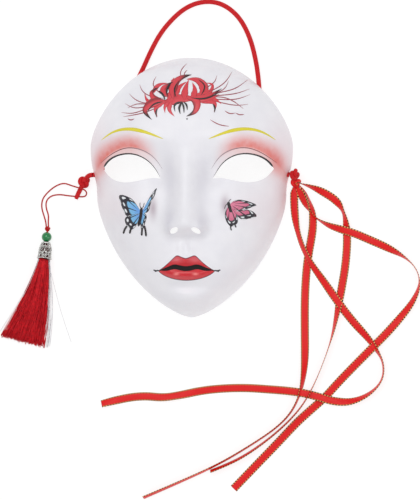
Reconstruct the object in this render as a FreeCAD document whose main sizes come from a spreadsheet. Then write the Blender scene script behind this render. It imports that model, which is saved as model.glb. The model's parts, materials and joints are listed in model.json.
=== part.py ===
import FreeCAD, Part
import math
import os

import Sketcher

# Venetian masquerade mask: a moulded full-face shell on an elastic strap, with a jade and
# filigree tassel on the wearer's right side and four tails of satin ribbon on the left side.
# The mask lies on its back: +Z out of the face, +Y towards the forehead, +X towards the
# ribbons.  The origin is on the resting plane under the middle of the shell.  Millimetres.

Vector = FreeCAD.Vector
doc = FreeCAD.newDocument("masquerade_mask")

# ---------------------------------------------------------------------------------------
# Driving dimensions
# ---------------------------------------------------------------------------------------

SIZES = [
    # the moulded shell
    ("mask_length", 220.0),
    ("mask_width", 171.6),
    ("dome_height", 60.0),
    ("wall_thickness", 1.6),
    ("nose_projection", 19.5),
    ("nostril_length", 8.0),
    ("nostril_width", 4.4),
    # the elastic strap and the holes it is knotted through
    ("strap_diameter", 4.0),
    ("strap_hole_clearance", 0.75),
    ("strap_hole_rise", 9.5),
    ("strap_hole_forward", 10.6),
    ("strap_knot_radius", 4.1),
    ("strap_tail_length", 15.5),
    ("piece_gap", 0.3),
    # the satin ribbons
    ("ribbon_width", 7.0),
    ("ribbon_thickness", 0.6),
    ("ribbon_knot_radius", 3.6),
    # the tassel
    ("tassel_cord_diameter", 1.2),
    ("tassel_knot_radius", 2.1),
    ("bead_diameter", 8.5),
    ("stem_diameter", 1.9),
    ("bead_running_clearance", 0.05),
    ("bead_end_gap", 0.6),
    ("cap_length", 14.0),
    ("cap_radius", 6.0),
    ("cap_wall", 0.7),
    ("cap_slot_count", 6.0),
    ("core_radius", 4.4),
    ("skirt_length", 73.0),
    ("skirt_spread", 40.0),
]

sheet = doc.addObject("Spreadsheet::Sheet", "Sizes")
for row, (alias, number) in enumerate(SIZES, start=1):
    sheet.set("A%d" % row, alias)
    sheet.set("B%d" % row, str(number))
    sheet.setAlias("B%d" % row, alias)
doc.recompute()


def size(alias):
    """The number in the sheet's cell of that name."""
    return float(getattr(sheet, alias))


def bind(thing, sizes):
    """Tie properties of an object to expressions on the sheet."""
    for name, expression in sizes.items():
        thing.setExpression(name, expression)


# The face is drawn at these outer sizes and stretched from them to the sheet's sizes.
DRAWN_LENGTH = 220.0
DRAWN_WIDTH = 171.6
DRAWN_HEIGHT = 60.0

STRETCH_X = size("mask_width") / DRAWN_WIDTH
STRETCH_Y = size("mask_length") / DRAWN_LENGTH
STRETCH_Z = size("dome_height") / DRAWN_HEIGHT
NOSE = size("nose_projection") / STRETCH_Z


def bell(distance, radius):
    """A bell curve: 1 in the middle, 0.37 at one radius."""
    return math.exp(-((distance / radius) ** 2))


def mound(x, y, centre_x, centre_y, radius_x, radius_y):
    """A smooth mound of height 1, and its mirror image across the mid-line."""
    across = bell(x - centre_x, radius_x)
    if centre_x:
        across += bell(x + centre_x, radius_x)
    return across * bell(y - centre_y, radius_y)


def rise(value, middle, softness):
    """A soft step from 0 to 1."""
    return 1.0 / (1.0 + math.exp(-(value - middle) / softness))


WIDEST_Y = 35.0         # the temples, where the outline is widest
TEMPLE_NOTCH = 3.2      # the outline pulls in by this much beside the eyes
TEMPLE_NOTCH_Y = 6.0


def half_width(y):
    """Half the outline's width: a full round brow above, a long taper to the chin below."""
    half_length = DRAWN_LENGTH / 2.0
    widest = DRAWN_WIDTH / 2.0
    if y >= WIDEST_Y:
        share = (y - WIDEST_Y) / (half_length - WIDEST_Y)
        return widest * math.sqrt(max(0.0, 1.0 - share ** 1.5))
    share = (WIDEST_Y - y) / (half_length + WIDEST_Y)
    taper = widest * max(0.0, 1.0 - share ** 2.2) ** 0.69
    return taper - TEMPLE_NOTCH * bell(y - TEMPLE_NOTCH_Y, 16.0) * min(1.0, 4.0 * share)


def face_height(x, y):
    """Height of the face over the resting plane, inside the outline."""
    edge = half_width(y)
    across = min(1.0, abs(x) / edge) if edge > 0.0 else 1.0
    fullness = 2.4 + 0.6 * rise(y, -20.0, 22.0)
    along = abs(y) / (DRAWN_LENGTH / 2.0)
    roundness = 3.6 if y > 0.0 else 4.6
    crown = math.sqrt(max(0.0, 1.0 - along ** roundness))
    flank = math.sqrt(max(0.0, 1.0 - across ** fullness))

    ridge = NOSE * max(0.0, min(1.0, (40.0 - y) / 68.0)) ** 1.25 * rise(y, -38.5, 2.0)
    ridge_half = 8.0 + 5.5 * rise(y, -14.0, -9.0)
    nose = ridge * math.exp(-abs(x / ridge_half) ** 2.3)
    nose += 6.5 * mound(x, y, 13.0, -33.5, 5.2, 6.0)
    nose += 2.5 * mound(x, y, 0.0, -28.5, 7.5, 7.0)

    brow = 3.0 * mound(x, y, 43.0, 43.0, 30.0, 9.0) + 1.5 * mound(x, y, 0.0, 40.0, 14.0, 12.0)
    sockets = -6.0 * mound(x, y, 23.0, 13.0, 9.0, 14.0)
    sockets += -4.0 * mound(x, y, 47.0, 18.0, 25.0, 13.0)
    cheeks = 4.5 * mound(x, y, 52.0, -14.0, 20.0, 17.0)
    cheeks += -3.0 * mound(x, y, 45.0, -52.0, 15.0, 18.0)
    muzzle = 3.5 * mound(x, y, 0.0, -63.0, 27.0, 19.0)

    lip_span = math.exp(-abs(x / 21.0) ** 4)
    upper_line = -61.5 - 7.0 * (x / 27.0) ** 2
    lower_line = -73.4 + 5.0 * (x / 27.0) ** 2
    lips = 3.6 * lip_span * bell(y - upper_line, 3.4)
    lips += 4.8 * lip_span * bell(y - lower_line, 4.0)
    philtrum = 0.8 * mound(x, y, 4.6, -51.0, 2.4, 6.0) - 1.0 * mound(x, y, 0.0, -51.0, 2.6, 6.0)
    chin = 7.5 * mound(x, y, 0.0, -95.0, 19.0, 11.0) - 3.5 * mound(x, y, 0.0, -84.0, 17.0, 4.5)

    relief = nose + brow + sockets + cheeks + muzzle + lips + philtrum + chin
    return DRAWN_HEIGHT * crown * flank + relief * flank ** 0.6 * crown ** 0.5


END_FLAT = 0.4      # the cross-sections stop this far short of the chin's and the crown's tips


def wall_surface(scale):
    """One side of the shell: cross-sections from chin to crown, each from rim to rim."""
    sections = 96
    spots = 72
    half_length = DRAWN_LENGTH / 2.0
    last_angle = math.asin(1.0 - END_FLAT / half_length)
    poles = []
    for row in range(sections + 1):
        y = half_length * math.sin(last_angle * (2.0 * row / sections - 1.0))
        edge = half_width(y)
        line = []
        for spot in range(spots + 1):
            x = edge * math.sin(math.pi * (spot / spots - 0.5))
            z = 0.0 if spot in (0, spots) else face_height(x, y)
            line.append(Vector(x * STRETCH_X * scale.x, y * STRETCH_Y * scale.y, z * STRETCH_Z * scale.z))
        poles.append(line)

    def clamped(count):
        inner = count - 4
        return [4] + [1] * inner + [4], [float(k) for k in range(inner + 2)]

    row_mults, row_knots = clamped(sections + 1)
    spot_mults, spot_knots = clamped(spots + 1)
    surface = Part.BSplineSurface()
    surface.buildFromPolesMultsKnots(
        poles, row_mults, spot_mults, row_knots, spot_knots, False, False, 3, 3)
    return surface.toShape()


def closed_dome(face):
    """The solid between a wall surface and the resting plane."""
    ends = []
    rims = []
    for edge in face.Edges:
        box = edge.BoundBox
        (ends if box.ZMax > 1.0 else rims).append(edge)
    end_faces = []
    for end in ends:
        foot = Part.LineSegment(end.Vertexes[0].Point, end.Vertexes[-1].Point).toShape()
        rims.append(foot)
        end_faces.append(Part.Face(Part.Wire([end, foot])))
    base = Part.Face(Part.Wire(Part.sortEdges(rims)[0]))
    dome = Part.Solid(Part.Shell([face, base] + end_faces))
    dome.fix(1e-4, 1e-5, 1e-3)
    return dome


# ---------------------------------------------------------------------------------------
# mask_shell: one moulded wall, with eye, nostril and strap holes
# ---------------------------------------------------------------------------------------

wall = size("wall_thickness")
outer_scale = Vector(1.0, 1.0, 1.0)
inner_scale = Vector(
    1.0 - 2.0 * wall / size("mask_width"),
    1.0 - 2.0 * wall / size("mask_length"),
    1.0 - wall / size("dome_height"))
outer_face = wall_surface(outer_scale)
inner_face = wall_surface(inner_scale)

moulding = doc.addObject("Part::Feature", "moulded_wall")
moulding.Shape = closed_dome(outer_face).cut(closed_dome(inner_face))

TOP_OF_TOOLS = 120.0

# Upper lid from the inner corner to the outer corner, and lower lid back again.
UPPER_LID = [(22.0, 7.0), (29.7, 18.8), (42.0, 26.4), (57.2, 26.4), (68.8, 19.8), (72.0, 15.2)]
LOWER_LID = [(72.0, 15.2), (65.2, 7.8), (50.3, 3.8), (36.6, 6.1), (27.5, 7.4), (22.0, 7.0)]


NOSTRIL_OUT = 9.2           # a nostril's distance from the mid-line
NOSTRIL_Y = -36.6
NOSTRIL_LEAN = -28.0        # degrees, the outer end lower
NOSTRIL_TOOL_START = 40.0   # below the tip of the nose and above the lips' inside
STRAP_TOOL_SHARE = 0.8      # where the strap hole's tool starts, as a share of the half width


def lid_edge(points, side):
    """The smooth edge of one lid through its points, on the wearer's left or right."""
    curve = Part.BSplineCurve()
    curve.interpolate([Vector(side * x * STRETCH_X, y * STRETCH_Y, -1.0) for x, y in points])
    return curve.toShape()


tools = []
for name, side in (("left", -1.0), ("right", 1.0)):
    outline = Part.Wire([lid_edge(UPPER_LID, side), lid_edge(LOWER_LID, side)])
    eye = doc.addObject("Part::Feature", "eye_cut_" + name)
    eye.Shape = Part.Face(outline).extrude(Vector(0, 0, TOP_OF_TOOLS))
    tools.append(eye)

    nostril_outline = doc.addObject("Part::Ellipse", "nostril_outline_" + name)
    bind(nostril_outline, {"MajorRadius": "Sizes.nostril_length / 2",
                           "MinorRadius": "Sizes.nostril_width / 2"})
    nostril_outline.Placement = FreeCAD.Placement(
        Vector(side * NOSTRIL_OUT * STRETCH_X, NOSTRIL_Y * STRETCH_Y, NOSTRIL_TOOL_START * STRETCH_Z),
        FreeCAD.Rotation(Vector(0, 0, 1), side * NOSTRIL_LEAN))
    nostril = doc.addObject("Part::Extrusion", "nostril_cut_" + name)
    nostril.Base = nostril_outline
    nostril.DirMode = "Custom"
    nostril.Dir = Vector(0, 0, 1)
    nostril.LengthFwd = TOP_OF_TOOLS / 2.0
    nostril.Solid = True
    tools.append(nostril)

    strap_hole = doc.addObject("Part::Cylinder", "strap_hole_" + name)
    bind(strap_hole, {
        "Radius": "Sizes.strap_diameter / 2 + Sizes.strap_hole_clearance",
        "Height": "Sizes.mask_width / 4",
    })
    strap_hole.Placement = FreeCAD.Placement(
        Vector(side * size("mask_width") / 2.0 * STRAP_TOOL_SHARE, size("strap_hole_forward"), size("strap_hole_rise")),
        FreeCAD.Rotation(Vector(0, 0, 1), Vector(side, 0, 0)))
    tools.append(strap_hole)

# The forehead rim lifts off the resting plane so that the strap can pass below it.
RELIEF_START = 45.0 * STRETCH_Y
STRAP_CROSSING = 86.0 * STRETCH_Y
RELIEF_HEADROOM = 1.3
relief_height = size("strap_diameter") + RELIEF_HEADROOM
relief_angle = math.degrees(math.atan2(relief_height, STRAP_CROSSING - RELIEF_START))
relief = doc.addObject("Part::Box", "forehead_rim_cut")
bind(relief, {"Length": "Sizes.mask_width * 2", "Width": "Sizes.mask_length", "Height": "20 mm"})
relief.Placement = FreeCAD.Placement(
    Vector(-size("mask_width"), RELIEF_START, 0.0), FreeCAD.Rotation(Vector(1, 0, 0), relief_angle)
) * FreeCAD.Placement(Vector(0, 0, -20.0), FreeCAD.Rotation())
tools.append(relief)

cutters = doc.addObject("Part::Compound", "shell_cutters")
cutters.Links = tools
shell = doc.addObject("Part::Cut", "mask_shell")
shell.Label = "mask_shell"
shell.Base = moulding
shell.Tool = cutters
doc.recompute()
sub_parts = [shell]

# ---------------------------------------------------------------------------------------
# Cords: straight runs joined by tangent arcs
# ---------------------------------------------------------------------------------------


def cord_path(name, points):
    """A wire of straight runs and tangent arcs through the route's runs; prints the arcs' radii."""
    edges = []
    start = points[0]
    radii = []
    for before, corner, after in zip(points, points[1:], points[2:]):
        inward = (before - corner)
        outward = (after - corner)
        shorter = min(inward.Length, outward.Length)
        inward.normalize()
        outward.normalize()
        turn = math.pi - inward.getAngle(outward)
        setback = 0.45 * shorter
        radius = setback / math.tan(turn / 2.0)
        radii.append(radius)
        arc_start = corner + inward * setback
        arc_end = corner + outward * setback
        middle = inward + outward
        middle.normalize()
        to_centre = math.hypot(radius, setback)
        arc_middle = corner + middle * (to_centre - radius)
        edges.append(Part.LineSegment(start, arc_start).toShape())
        edges.append(Part.Arc(arc_start, arc_middle, arc_end).toShape())
        start = arc_end
    edges.append(Part.LineSegment(start, points[-1]).toShape())
    print("%s: length %.1f, smallest radius %.1f" % (name, sum(e.Length for e in edges), min(radii)))
    print("   radii " + " ".join("%.0f" % radius for radius in radii))
    return Part.Wire(edges)


def sweep(path, profile, upright):
    """A closed solid with a constant section along a path."""
    maker = Part.BRepOffsetAPI.MakePipeShell(path)
    if upright:
        maker.setBiNormalMode(Vector(0, 0, 1))
    else:
        maker.setFrenetMode(False)
    maker.add(profile, False, False)
    maker.build()
    maker.makeSolid()
    return maker.shape()


def check_volume(name, solid, section, path):
    print("   %s volume / (section x length) = %.3f" % (name, solid.Volume / (section * path.Length)))


def round_cord(name, points, diameter):
    path = cord_path(name, points)
    ahead = points[1] - points[0]
    circle = Part.Wire(Part.Circle(points[0], ahead, diameter / 2.0).toShape())
    solid = sweep(path, circle, False)
    check_volume(name, solid, math.pi * diameter ** 2 / 4.0, path)
    return solid


def flat_cord(name, points, width, thickness):
    """A ribbon, which lies flat all the way."""
    path = cord_path(name, points)
    ahead = points[1] - points[0]
    ahead.normalize()
    side = Vector(0, 0, 1).cross(ahead)
    side.normalize()
    up = ahead.cross(side)
    corners = []
    for across, over in ((-1, -1), (1, -1), (1, 1), (-1, 1), (-1, -1)):
        corners.append(points[0] + side * (across * width / 2.0) + up * (over * thickness / 2.0))
    solid = sweep(path, Part.makePolygon(corners), True)
    check_volume(name, solid, width * thickness, path)
    return solid


def soft_part(label, shape):
    """A soft piece whose shape no parametric feature gives."""
    feature = doc.addObject("Part::Feature", label)
    feature.Label = label
    feature.Shape = shape
    sub_parts.append(feature)
    return feature


# ---------------------------------------------------------------------------------------
# elastic_strap, and its two knotted ends
# ---------------------------------------------------------------------------------------

strap_radius = size("strap_diameter") / 2.0
hole_y = size("strap_hole_forward")
hole_z = size("strap_hole_rise")
wall_x = half_width(hole_y / STRETCH_Y) * STRETCH_X
COLLAR = 0.6                # the strap stands this far out of its holes
collar_x = wall_x + COLLAR

# The strap from the right hole over the forehead to the left hole.  It turns up behind the
# eye's outer corner, runs inside the shell, comes out under the forehead rim and goes round
# in an arch.  Heights are over the resting plane.
STRAP_ROUTE = [
    (75.2, 11.0, 9.3), (75.4, 20.5, 8.4), (73.8, 31.0, 7.2), (68.5, 44.5, 5.6), (61.5, 59.0, 3.8),
    (57.8, 75.0, 2.4), (56.8, 91.0, 2.1), (54.4, 108.0, 2.1), (49.6, 126.5, 2.1), (41.5, 142.5, 2.1),
    (30.5, 152.8, 2.1), (18.5, 157.4, 2.1), (5.5, 156.6, 2.1), (-6.5, 151.2, 2.1), (-17.0, 142.0, 2.1),
    (-26.5, 130.5, 2.1), (-34.5, 116.0, 2.1), (-42.0, 99.0, 2.1), (-51.5, 80.0, 2.4), (-60.5, 61.0, 3.8),
    (-68.5, 45.0, 5.6), (-73.8, 31.0, 7.2), (-75.4, 20.5, 8.4), (-75.2, 11.0, 9.3),
]
strap_points = [Vector(collar_x, hole_y, hole_z)]
strap_points += [Vector(x * STRETCH_X, y * STRETCH_Y, z - 2.1 + strap_radius + 0.1) for x, y, z in STRAP_ROUTE]
strap_points.append(Vector(-collar_x, hole_y, hole_z))
soft_part("elastic_strap", round_cord("elastic_strap", strap_points, 2.0 * strap_radius))

knot_radius = size("strap_knot_radius")
gap = size("piece_gap")


def ball(centre, radius, squash=1.0):
    """A ball, or a ball flattened upright by squash."""
    shape = Part.makeSphere(radius)
    if squash != 1.0:
        stretch = FreeCAD.Matrix()
        stretch.scale(1.0, 1.0, squash)
        shape = shape.transformGeometry(stretch)
    shape.translate(centre)
    return shape


right_knot = Vector(collar_x + gap + knot_radius, hole_y, hole_z)
soft_part("strap_knot_right", ball(right_knot, knot_radius))

LEFT_KNOT_OUT = 8.6         # the left knot lies on the table, this far out from the wall
LEFT_KNOT_BACK = 6.0
NECK_RUN = 3.2              # the neck leaves its hole straight for this long
TABLE_GAP = 0.2
left_knot = Vector(-wall_x - LEFT_KNOT_OUT, hole_y - LEFT_KNOT_BACK, knot_radius + TABLE_GAP)
neck_points = [
    Vector(-collar_x - gap, hole_y, hole_z), Vector(-collar_x - gap - NECK_RUN, hole_y, hole_z), left_knot]
left_neck = round_cord("strap_end_left", neck_points, 2.0 * strap_radius)
tail_way = Vector(-0.452, -0.892, 0.0)
tail_points = [
    left_knot,
    left_knot + tail_way * (0.45 * size("strap_tail_length")) + Vector(0.6, 0, 0.3),
    left_knot + tail_way * size("strap_tail_length") + Vector(0, 0, -0.3)]
left_tail = round_cord("strap_tail", tail_points, 2.0 * strap_radius)
left_end = left_neck.fuse([ball(left_knot, knot_radius), left_tail]).removeSplitter()
soft_part("strap_end_left", left_end)

# ---------------------------------------------------------------------------------------
# ribbon_knot and the four ribbon tails, flat on the resting plane
# ---------------------------------------------------------------------------------------

ribbon_knot = right_knot + Vector(0.7, -6.6, -4.6)
soft_part("ribbon_knot", ball(ribbon_knot, size("ribbon_knot_radius")))

# Each route is in plan from the ribbon knot, and in height from the resting plane.
RIBBON_ROUTES = {
    "ribbon_tail_inner": [
        (-1.1, -3.9, 2.6), (-1.8, -14.5, 1.6), (-0.5, -32.0, 0.5), (3.0, -47.0, 1.8), (7.5, -58.5, 3.4),
        (14.0, -70.0, 3.4), (22.5, -82.0, 1.9), (31.0, -94.0, 3.4), (40.5, -107.5, 3.4), (50.5, -120.0, 1.0),
        (60.5, -130.5, 0.5), (69.0, -142.0, 0.5), (74.5, -153.0, 0.5), (73.5, -167.0, 0.5), (63.0, -178.5, 0.5),
        (47.0, -185.5, 0.9), (32.0, -184.8, 3.4), (20.0, -181.0, 4.0), (6.0, -177.5, 4.4), (-7.0, -175.8, 3.6),
        (-22.5, -174.7, 0.9), (-42.0, -173.4, 0.5), (-62.0, -173.9, 0.5), (-80.0, -175.8, 0.5), (-97.0, -179.5, 0.5),
        (-113.0, -182.0, 0.5), (-128.5, -180.3, 0.5), (-147.0, -182.5, 0.5), (-165.0, -187.2, 0.5)],
    "ribbon_tail_outer": [
        (1.4, -3.9, 3.9), (4.8, -10.0, 3.4), (8.6, -19.5, 1.4), (16.0, -29.5, 0.5), (27.0, -36.0, 1.2),
        (36.5, -39.0, 3.4), (49.0, -42.5, 3.4), (60.5, -47.5, 0.8), (76.0, -54.2, 0.5), (92.0, -62.5, 0.5),
        (102.5, -72.5, 0.5), (105.5, -86.0, 0.5), (98.5, -101.5, 0.5), (87.5, -115.0, 1.2), (76.5, -127.5, 3.4),
        (61.5, -142.5, 3.4), (49.5, -154.5, 0.9), (35.0, -169.5, 0.5), (24.5, -181.5, 0.5), (12.5, -192.0, 1.6),
        (0.5, -202.8, 1.8), (-14.5, -219.0, 1.7), (-33.5, -238.6, 0.5), (-52.8, -258.7, 0.5)],
    "ribbon_tail_middle": [
        (3.2, -2.7, 7.2), (7.6, -6.6, 6.6), (11.5, -15.0, 5.0), (14.2, -25.0, 4.0), (14.6, -37.0, 3.4),
        (12.9, -48.0, 1.2), (10.6, -60.0, 0.5), (8.6, -76.0, 0.5), (7.4, -98.0, 0.5), (7.4, -124.0, 0.5),
        (7.7, -147.0, 0.8), (6.4, -165.0, 1.8), (3.0, -181.0, 2.0), (-5.0, -196.0, 2.0), (-18.0, -208.5, 2.0),
        (-39.0, -222.5, 2.0), (-63.0, -236.8, 1.9), (-92.0, -250.5, 0.8), (-129.3, -266.5, 0.5)],
    "ribbon_tail_side": [
        (3.9, -0.6, 4.9), (13.5, -3.4, 4.3), (24.5, -8.6, 2.4), (34.8, -15.5, 0.9), (40.8, -25.0, 0.5),
        (43.0, -38.0, 0.5), (43.3, -53.0, 0.5), (41.6, -72.0, 0.5), (38.6, -89.0, 0.5), (35.2, -109.0, 0.5),
        (30.8, -130.0, 0.5), (23.6, -152.0, 0.5), (14.2, -173.7, 0.5), (3.4, -191.8, 0.5), (-14.4, -209.9, 0.5),
        (-36.0, -226.3, 0.5), (-54.4, -237.0, 0.5), (-72.4, -244.0, 0.5)],
}
RIBBON_LOWEST = 0.5
ribbon_bed = size("ribbon_thickness") / 2.0 + TABLE_GAP
for label, route in RIBBON_ROUTES.items():
    ribbon_points = [
        Vector(ribbon_knot.x + x, ribbon_knot.y + y, z - RIBBON_LOWEST + ribbon_bed) for x, y, z in route]
    strip = flat_cord(label, ribbon_points, size("ribbon_width"), size("ribbon_thickness"))
    soft_part(label, strip)

# ---------------------------------------------------------------------------------------
# The tassel: cord loop, knot, stem, bead, cap, bound core and skirt, on one tilted axis
# ---------------------------------------------------------------------------------------

bead_radius = size("bead_diameter") / 2.0
bead_centre = left_knot + Vector(-31.8, -46.5, bead_radius + 0.15 - left_knot.z)
axis_plan = Vector(-0.09, -0.996, 0.0)
bead_to_cap = bead_radius + size("bead_end_gap")
cap_middle = bead_to_cap + size("cap_length") / 2.0
tilt = math.atan2(size("cap_radius") + 0.35 - bead_centre.z, cap_middle)
axis_way = Vector(
    axis_plan.x * math.cos(tilt), axis_plan.y * math.cos(tilt), math.sin(tilt))
axis_way.normalize()
along_axis = FreeCAD.Rotation(Vector(0, 0, 1), axis_way)


def on_axis(distance):
    """A point on the tassel's axis, measured from the middle of the bead towards the skirt."""
    return bead_centre + axis_way * distance


def revolved_body(label, draw):
    """A body turned from a sketch on its own XZ plane about its own Z axis."""
    body = doc.addObject("PartDesign::Body", label)
    body.Label = label
    plane = [item for item in body.Origin.OriginFeatures if item.Role == "XZ_Plane"][0]
    sketch = body.newObject("Sketcher::SketchObject", label + "_profile")
    sketch.AttachmentSupport = (plane, [""])
    sketch.MapMode = "FlatFace"
    draw(sketch)
    turned = body.newObject("PartDesign::Revolution", label + "_turned")
    turned.Profile = sketch
    turned.ReferenceAxis = (sketch, ["V_Axis"])
    turned.Angle = 360.0
    doc.recompute()
    return body


def polyline(sketch, corners):
    """A closed outline of straight lines, each end tied to the next one's start."""
    last = len(corners) - 1
    for index in range(last + 1):
        here = corners[index]
        there = corners[0] if index == last else corners[index + 1]
        sketch.addGeometry(Part.LineSegment(
            Vector(here[0], here[1], 0), Vector(there[0], there[1], 0)), False)
    for index in range(last + 1):
        following = 0 if index == last else index + 1
        sketch.addConstraint(Sketcher.Constraint("Coincident", index, 2, following, 1))


# The bead: a ball with a bore that turns freely on the stem.
def draw_bead(sketch):
    bore = size("stem_diameter") / 2.0 + size("bead_running_clearance")
    end = math.sqrt(bead_radius ** 2 - bore ** 2)
    start_angle = -math.atan2(end, bore)
    sketch.addGeometry(Part.ArcOfCircle(
        Part.Circle(Vector(0, 0, 0), Vector(0, 0, 1), bead_radius), start_angle, -start_angle), False)
    sketch.addGeometry(Part.LineSegment(Vector(bore, end, 0), Vector(bore, -end, 0)), False)
    sketch.addConstraint(Sketcher.Constraint("Coincident", 0, 3, -1, 1))
    sketch.addConstraint(Sketcher.Constraint("Coincident", 0, 2, 1, 1))
    sketch.addConstraint(Sketcher.Constraint("Coincident", 1, 2, 0, 1))
    sketch.addConstraint(Sketcher.Constraint("Vertical", 1))
    across = sketch.addConstraint(Sketcher.Constraint("Radius", 0, bead_radius))
    inside = sketch.addConstraint(Sketcher.Constraint("DistanceX", -1, 1, 1, 1, bore))
    sketch.setExpression("Constraints[%d]" % across, "Sizes.bead_diameter / 2")
    sketch.setExpression(
        "Constraints[%d]" % inside, "Sizes.stem_diameter / 2 + Sizes.bead_running_clearance")


bead = revolved_body("jade_bead", draw_bead)
bead.Placement = FreeCAD.Placement(bead_centre, along_axis)
sub_parts.append(bead)


# The cap: a thin flared bell with a row of pointed slots.
def draw_cap(sketch):
    radius = size("cap_radius")
    length = size("cap_length")
    skin_wall = size("cap_wall")
    neck = size("stem_diameter") / 2.0 + size("piece_gap")
    outside = [(neck, 0.0), (0.55 * radius, 0.0), (0.74 * radius, 0.16 * length),
               (0.9 * radius, 0.45 * length), (0.9 * radius, 0.75 * length), (radius, length)]
    inside = [(radius - skin_wall, length), (0.9 * radius - skin_wall, 0.75 * length),
              (0.9 * radius - skin_wall, 0.45 * length),
              (0.74 * radius - skin_wall, 0.16 * length + skin_wall), (neck, skin_wall)]
    polyline(sketch, outside + inside)


cap = revolved_body("filigree_cap", draw_cap)
slot_plane = [item for item in cap.Origin.OriginFeatures if item.Role == "XZ_Plane"][0]
slot_sketch = cap.newObject("Sketcher::SketchObject", "slot_profile")
slot_sketch.AttachmentSupport = (slot_plane, [""])
slot_sketch.MapMode = "FlatFace"
slot_half = 0.26 * size("cap_radius")
slot_low = 0.3 * size("cap_length")
slot_high = 0.7 * size("cap_length")
slot_mid = (slot_low + slot_high) / 2.0
polyline(slot_sketch, [(0.0, slot_low), (slot_half, slot_mid), (0.0, slot_high), (-slot_half, slot_mid)])
whole_cap_volume = cap.Shape.Volume
slot = cap.newObject("PartDesign::Pocket", "slot")
slot.Profile = slot_sketch
slot.Type = "Length"
bind(slot, {"Length": "Sizes.cap_radius * 2"})
slot.Reversed = False
doc.recompute()
if slot.Shape.Volume > whole_cap_volume - 0.1:
    slot.Reversed = True
    doc.recompute()
slots = cap.newObject("PartDesign::PolarPattern", "slots")
slots.Originals = [slot]
slots.Axis = (slot_sketch, ["V_Axis"])
slots.Angle = 360.0
bind(slots, {"Occurrences": "Sizes.cap_slot_count"})
cap.Tip = slots
doc.recompute()
print("cap volume before slots %.1f, one slot %.1f, all slots %.1f" % (
    whole_cap_volume, slot.Shape.Volume, cap.Shape.Volume))
cap.Placement = FreeCAD.Placement(on_axis(bead_to_cap), along_axis)
sub_parts.append(cap)

# The core: the bound head of the threads, inside the cap.
core_start = bead_to_cap + 0.45 * size("cap_length")
core = doc.addObject("Part::Cylinder", "tassel_core")
core.Label = "tassel_core"
bind(core, {
    "Radius": "min(Sizes.core_radius; 0.9 * Sizes.cap_radius - Sizes.cap_wall - Sizes.piece_gap)",
    "Height": "0.55 * Sizes.cap_length - Sizes.piece_gap",
})
core.Placement = FreeCAD.Placement(on_axis(core_start), along_axis)
sub_parts.append(core)

# The stem: the doubled cord from the knot through the bead and the cap's neck to the core.
tassel_knot_distance = -(bead_radius + size("tassel_knot_radius") + size("bead_end_gap"))
stem = doc.addObject("Part::Cylinder", "tassel_stem")
stem.Label = "tassel_stem"
bind(stem, {
    "Radius": "Sizes.stem_diameter / 2",
    "Height": "Sizes.bead_diameter + 2 * Sizes.bead_end_gap + Sizes.tassel_knot_radius"
              " + 0.45 * Sizes.cap_length",
})
stem.Placement = FreeCAD.Placement(on_axis(tassel_knot_distance), along_axis)
sub_parts.append(stem)

cord_radius = size("tassel_cord_diameter") / 2.0
knot_centre = on_axis(tassel_knot_distance)
knot_centre.z = max(knot_centre.z, size("tassel_knot_radius") + 0.1)

# The cord loop, in plan from the strap's left knot: out along one strand, over the strap's
# tail, round it and back below it along the other strand.  Both ends go into the tassel's
# own knot, which is cut to fit round them and round the stem.
CORD_ROUTE = [
    (-32.2, -38.6, 3.4), (-32.6, -34.0, 2.2), (-34.6, -28.2, 0.9), (-36.6, -21.5, 0.9), (-36.0, -14.6, 0.9), (-31.6, -8.8, 1.0),
    (-25.0, -3.4, 1.6), (-17.5, -0.6, 3.2), (-11.0, -2.8, 6.4), (-5.2, -4.6, 8.6), (0.8, -6.3, 8.4),
    (2.7, -9.3, 4.8), (0.6, -12.6, 1.4), (-6.6, -12.2, 0.9), (-13.5, -11.6, 0.9), (-21.0, -10.4, 0.9),
    (-28.2, -11.4, 0.9), (-32.6, -15.6, 0.9), (-32.8, -21.8, 0.9), (-30.4, -28.2, 0.9), (-30.8, -34.0, 2.2),
    (-30.3, -38.4, 3.4),
]
CORD_LOWEST = 0.9
cord_points = [
    Vector(left_knot.x + x, left_knot.y + y, z - CORD_LOWEST + cord_radius + TABLE_GAP)
    for x, y, z in CORD_ROUTE]
loop = soft_part("tassel_cord", round_cord("tassel_cord", cord_points, 2.0 * cord_radius))
doc.recompute()
knot_body = ball(knot_centre, size("tassel_knot_radius")).cut([stem.Shape, loop.Shape])
soft_part("tassel_cord_knot", knot_body)

# The skirt of threads: it leaves the cap's mouth and lies down in a fan.
skirt_top = on_axis(bead_to_cap + size("cap_length"))
skirt_way = Vector(-0.25, -0.968, 0.0)
skirt_way.normalize()
SKIRT_BOW = 8.0             # the fan bows towards the mask; a quarter of this at half its length
SKIRT_SECTIONS = [
    # share of the length, half width as a share of the spread, half height, height of the middle
    (0.0, 0.115, 4.0, None), (0.12, 0.155, 4.2, 6.0), (0.38, 0.25, 3.7, 4.3), (0.7, 0.37, 3.0, 3.5),
    (1.0, 0.5, 2.4, 2.8),
]
skirt_rings = []
for share, half_share, half_height, middle_z in SKIRT_SECTIONS:
    bow = SKIRT_BOW * share * (1.0 - share)
    centre = skirt_top + skirt_way * (share * size("skirt_length")) + Vector(bow, 0, 0)
    if middle_z is not None:
        centre.z = middle_z
    half_wide = half_share * size("skirt_spread")
    ring = Part.Ellipse(Vector(0, 0, 0), max(half_wide, half_height + 0.02), half_height).toShape()
    across = Vector(0, 0, 1).cross(skirt_way)
    facing = FreeCAD.Rotation(across, Vector(0, 0, 1), skirt_way * -1.0, "ZXY")
    ring.Placement = FreeCAD.Placement(centre, facing)
    skirt_rings.append(Part.Wire(ring))
soft_part("tassel_skirt", Part.makeLoft(skirt_rings, True, False))

# ---------------------------------------------------------------------------------------
# Check every object, then write each sub-part
# ---------------------------------------------------------------------------------------

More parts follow.
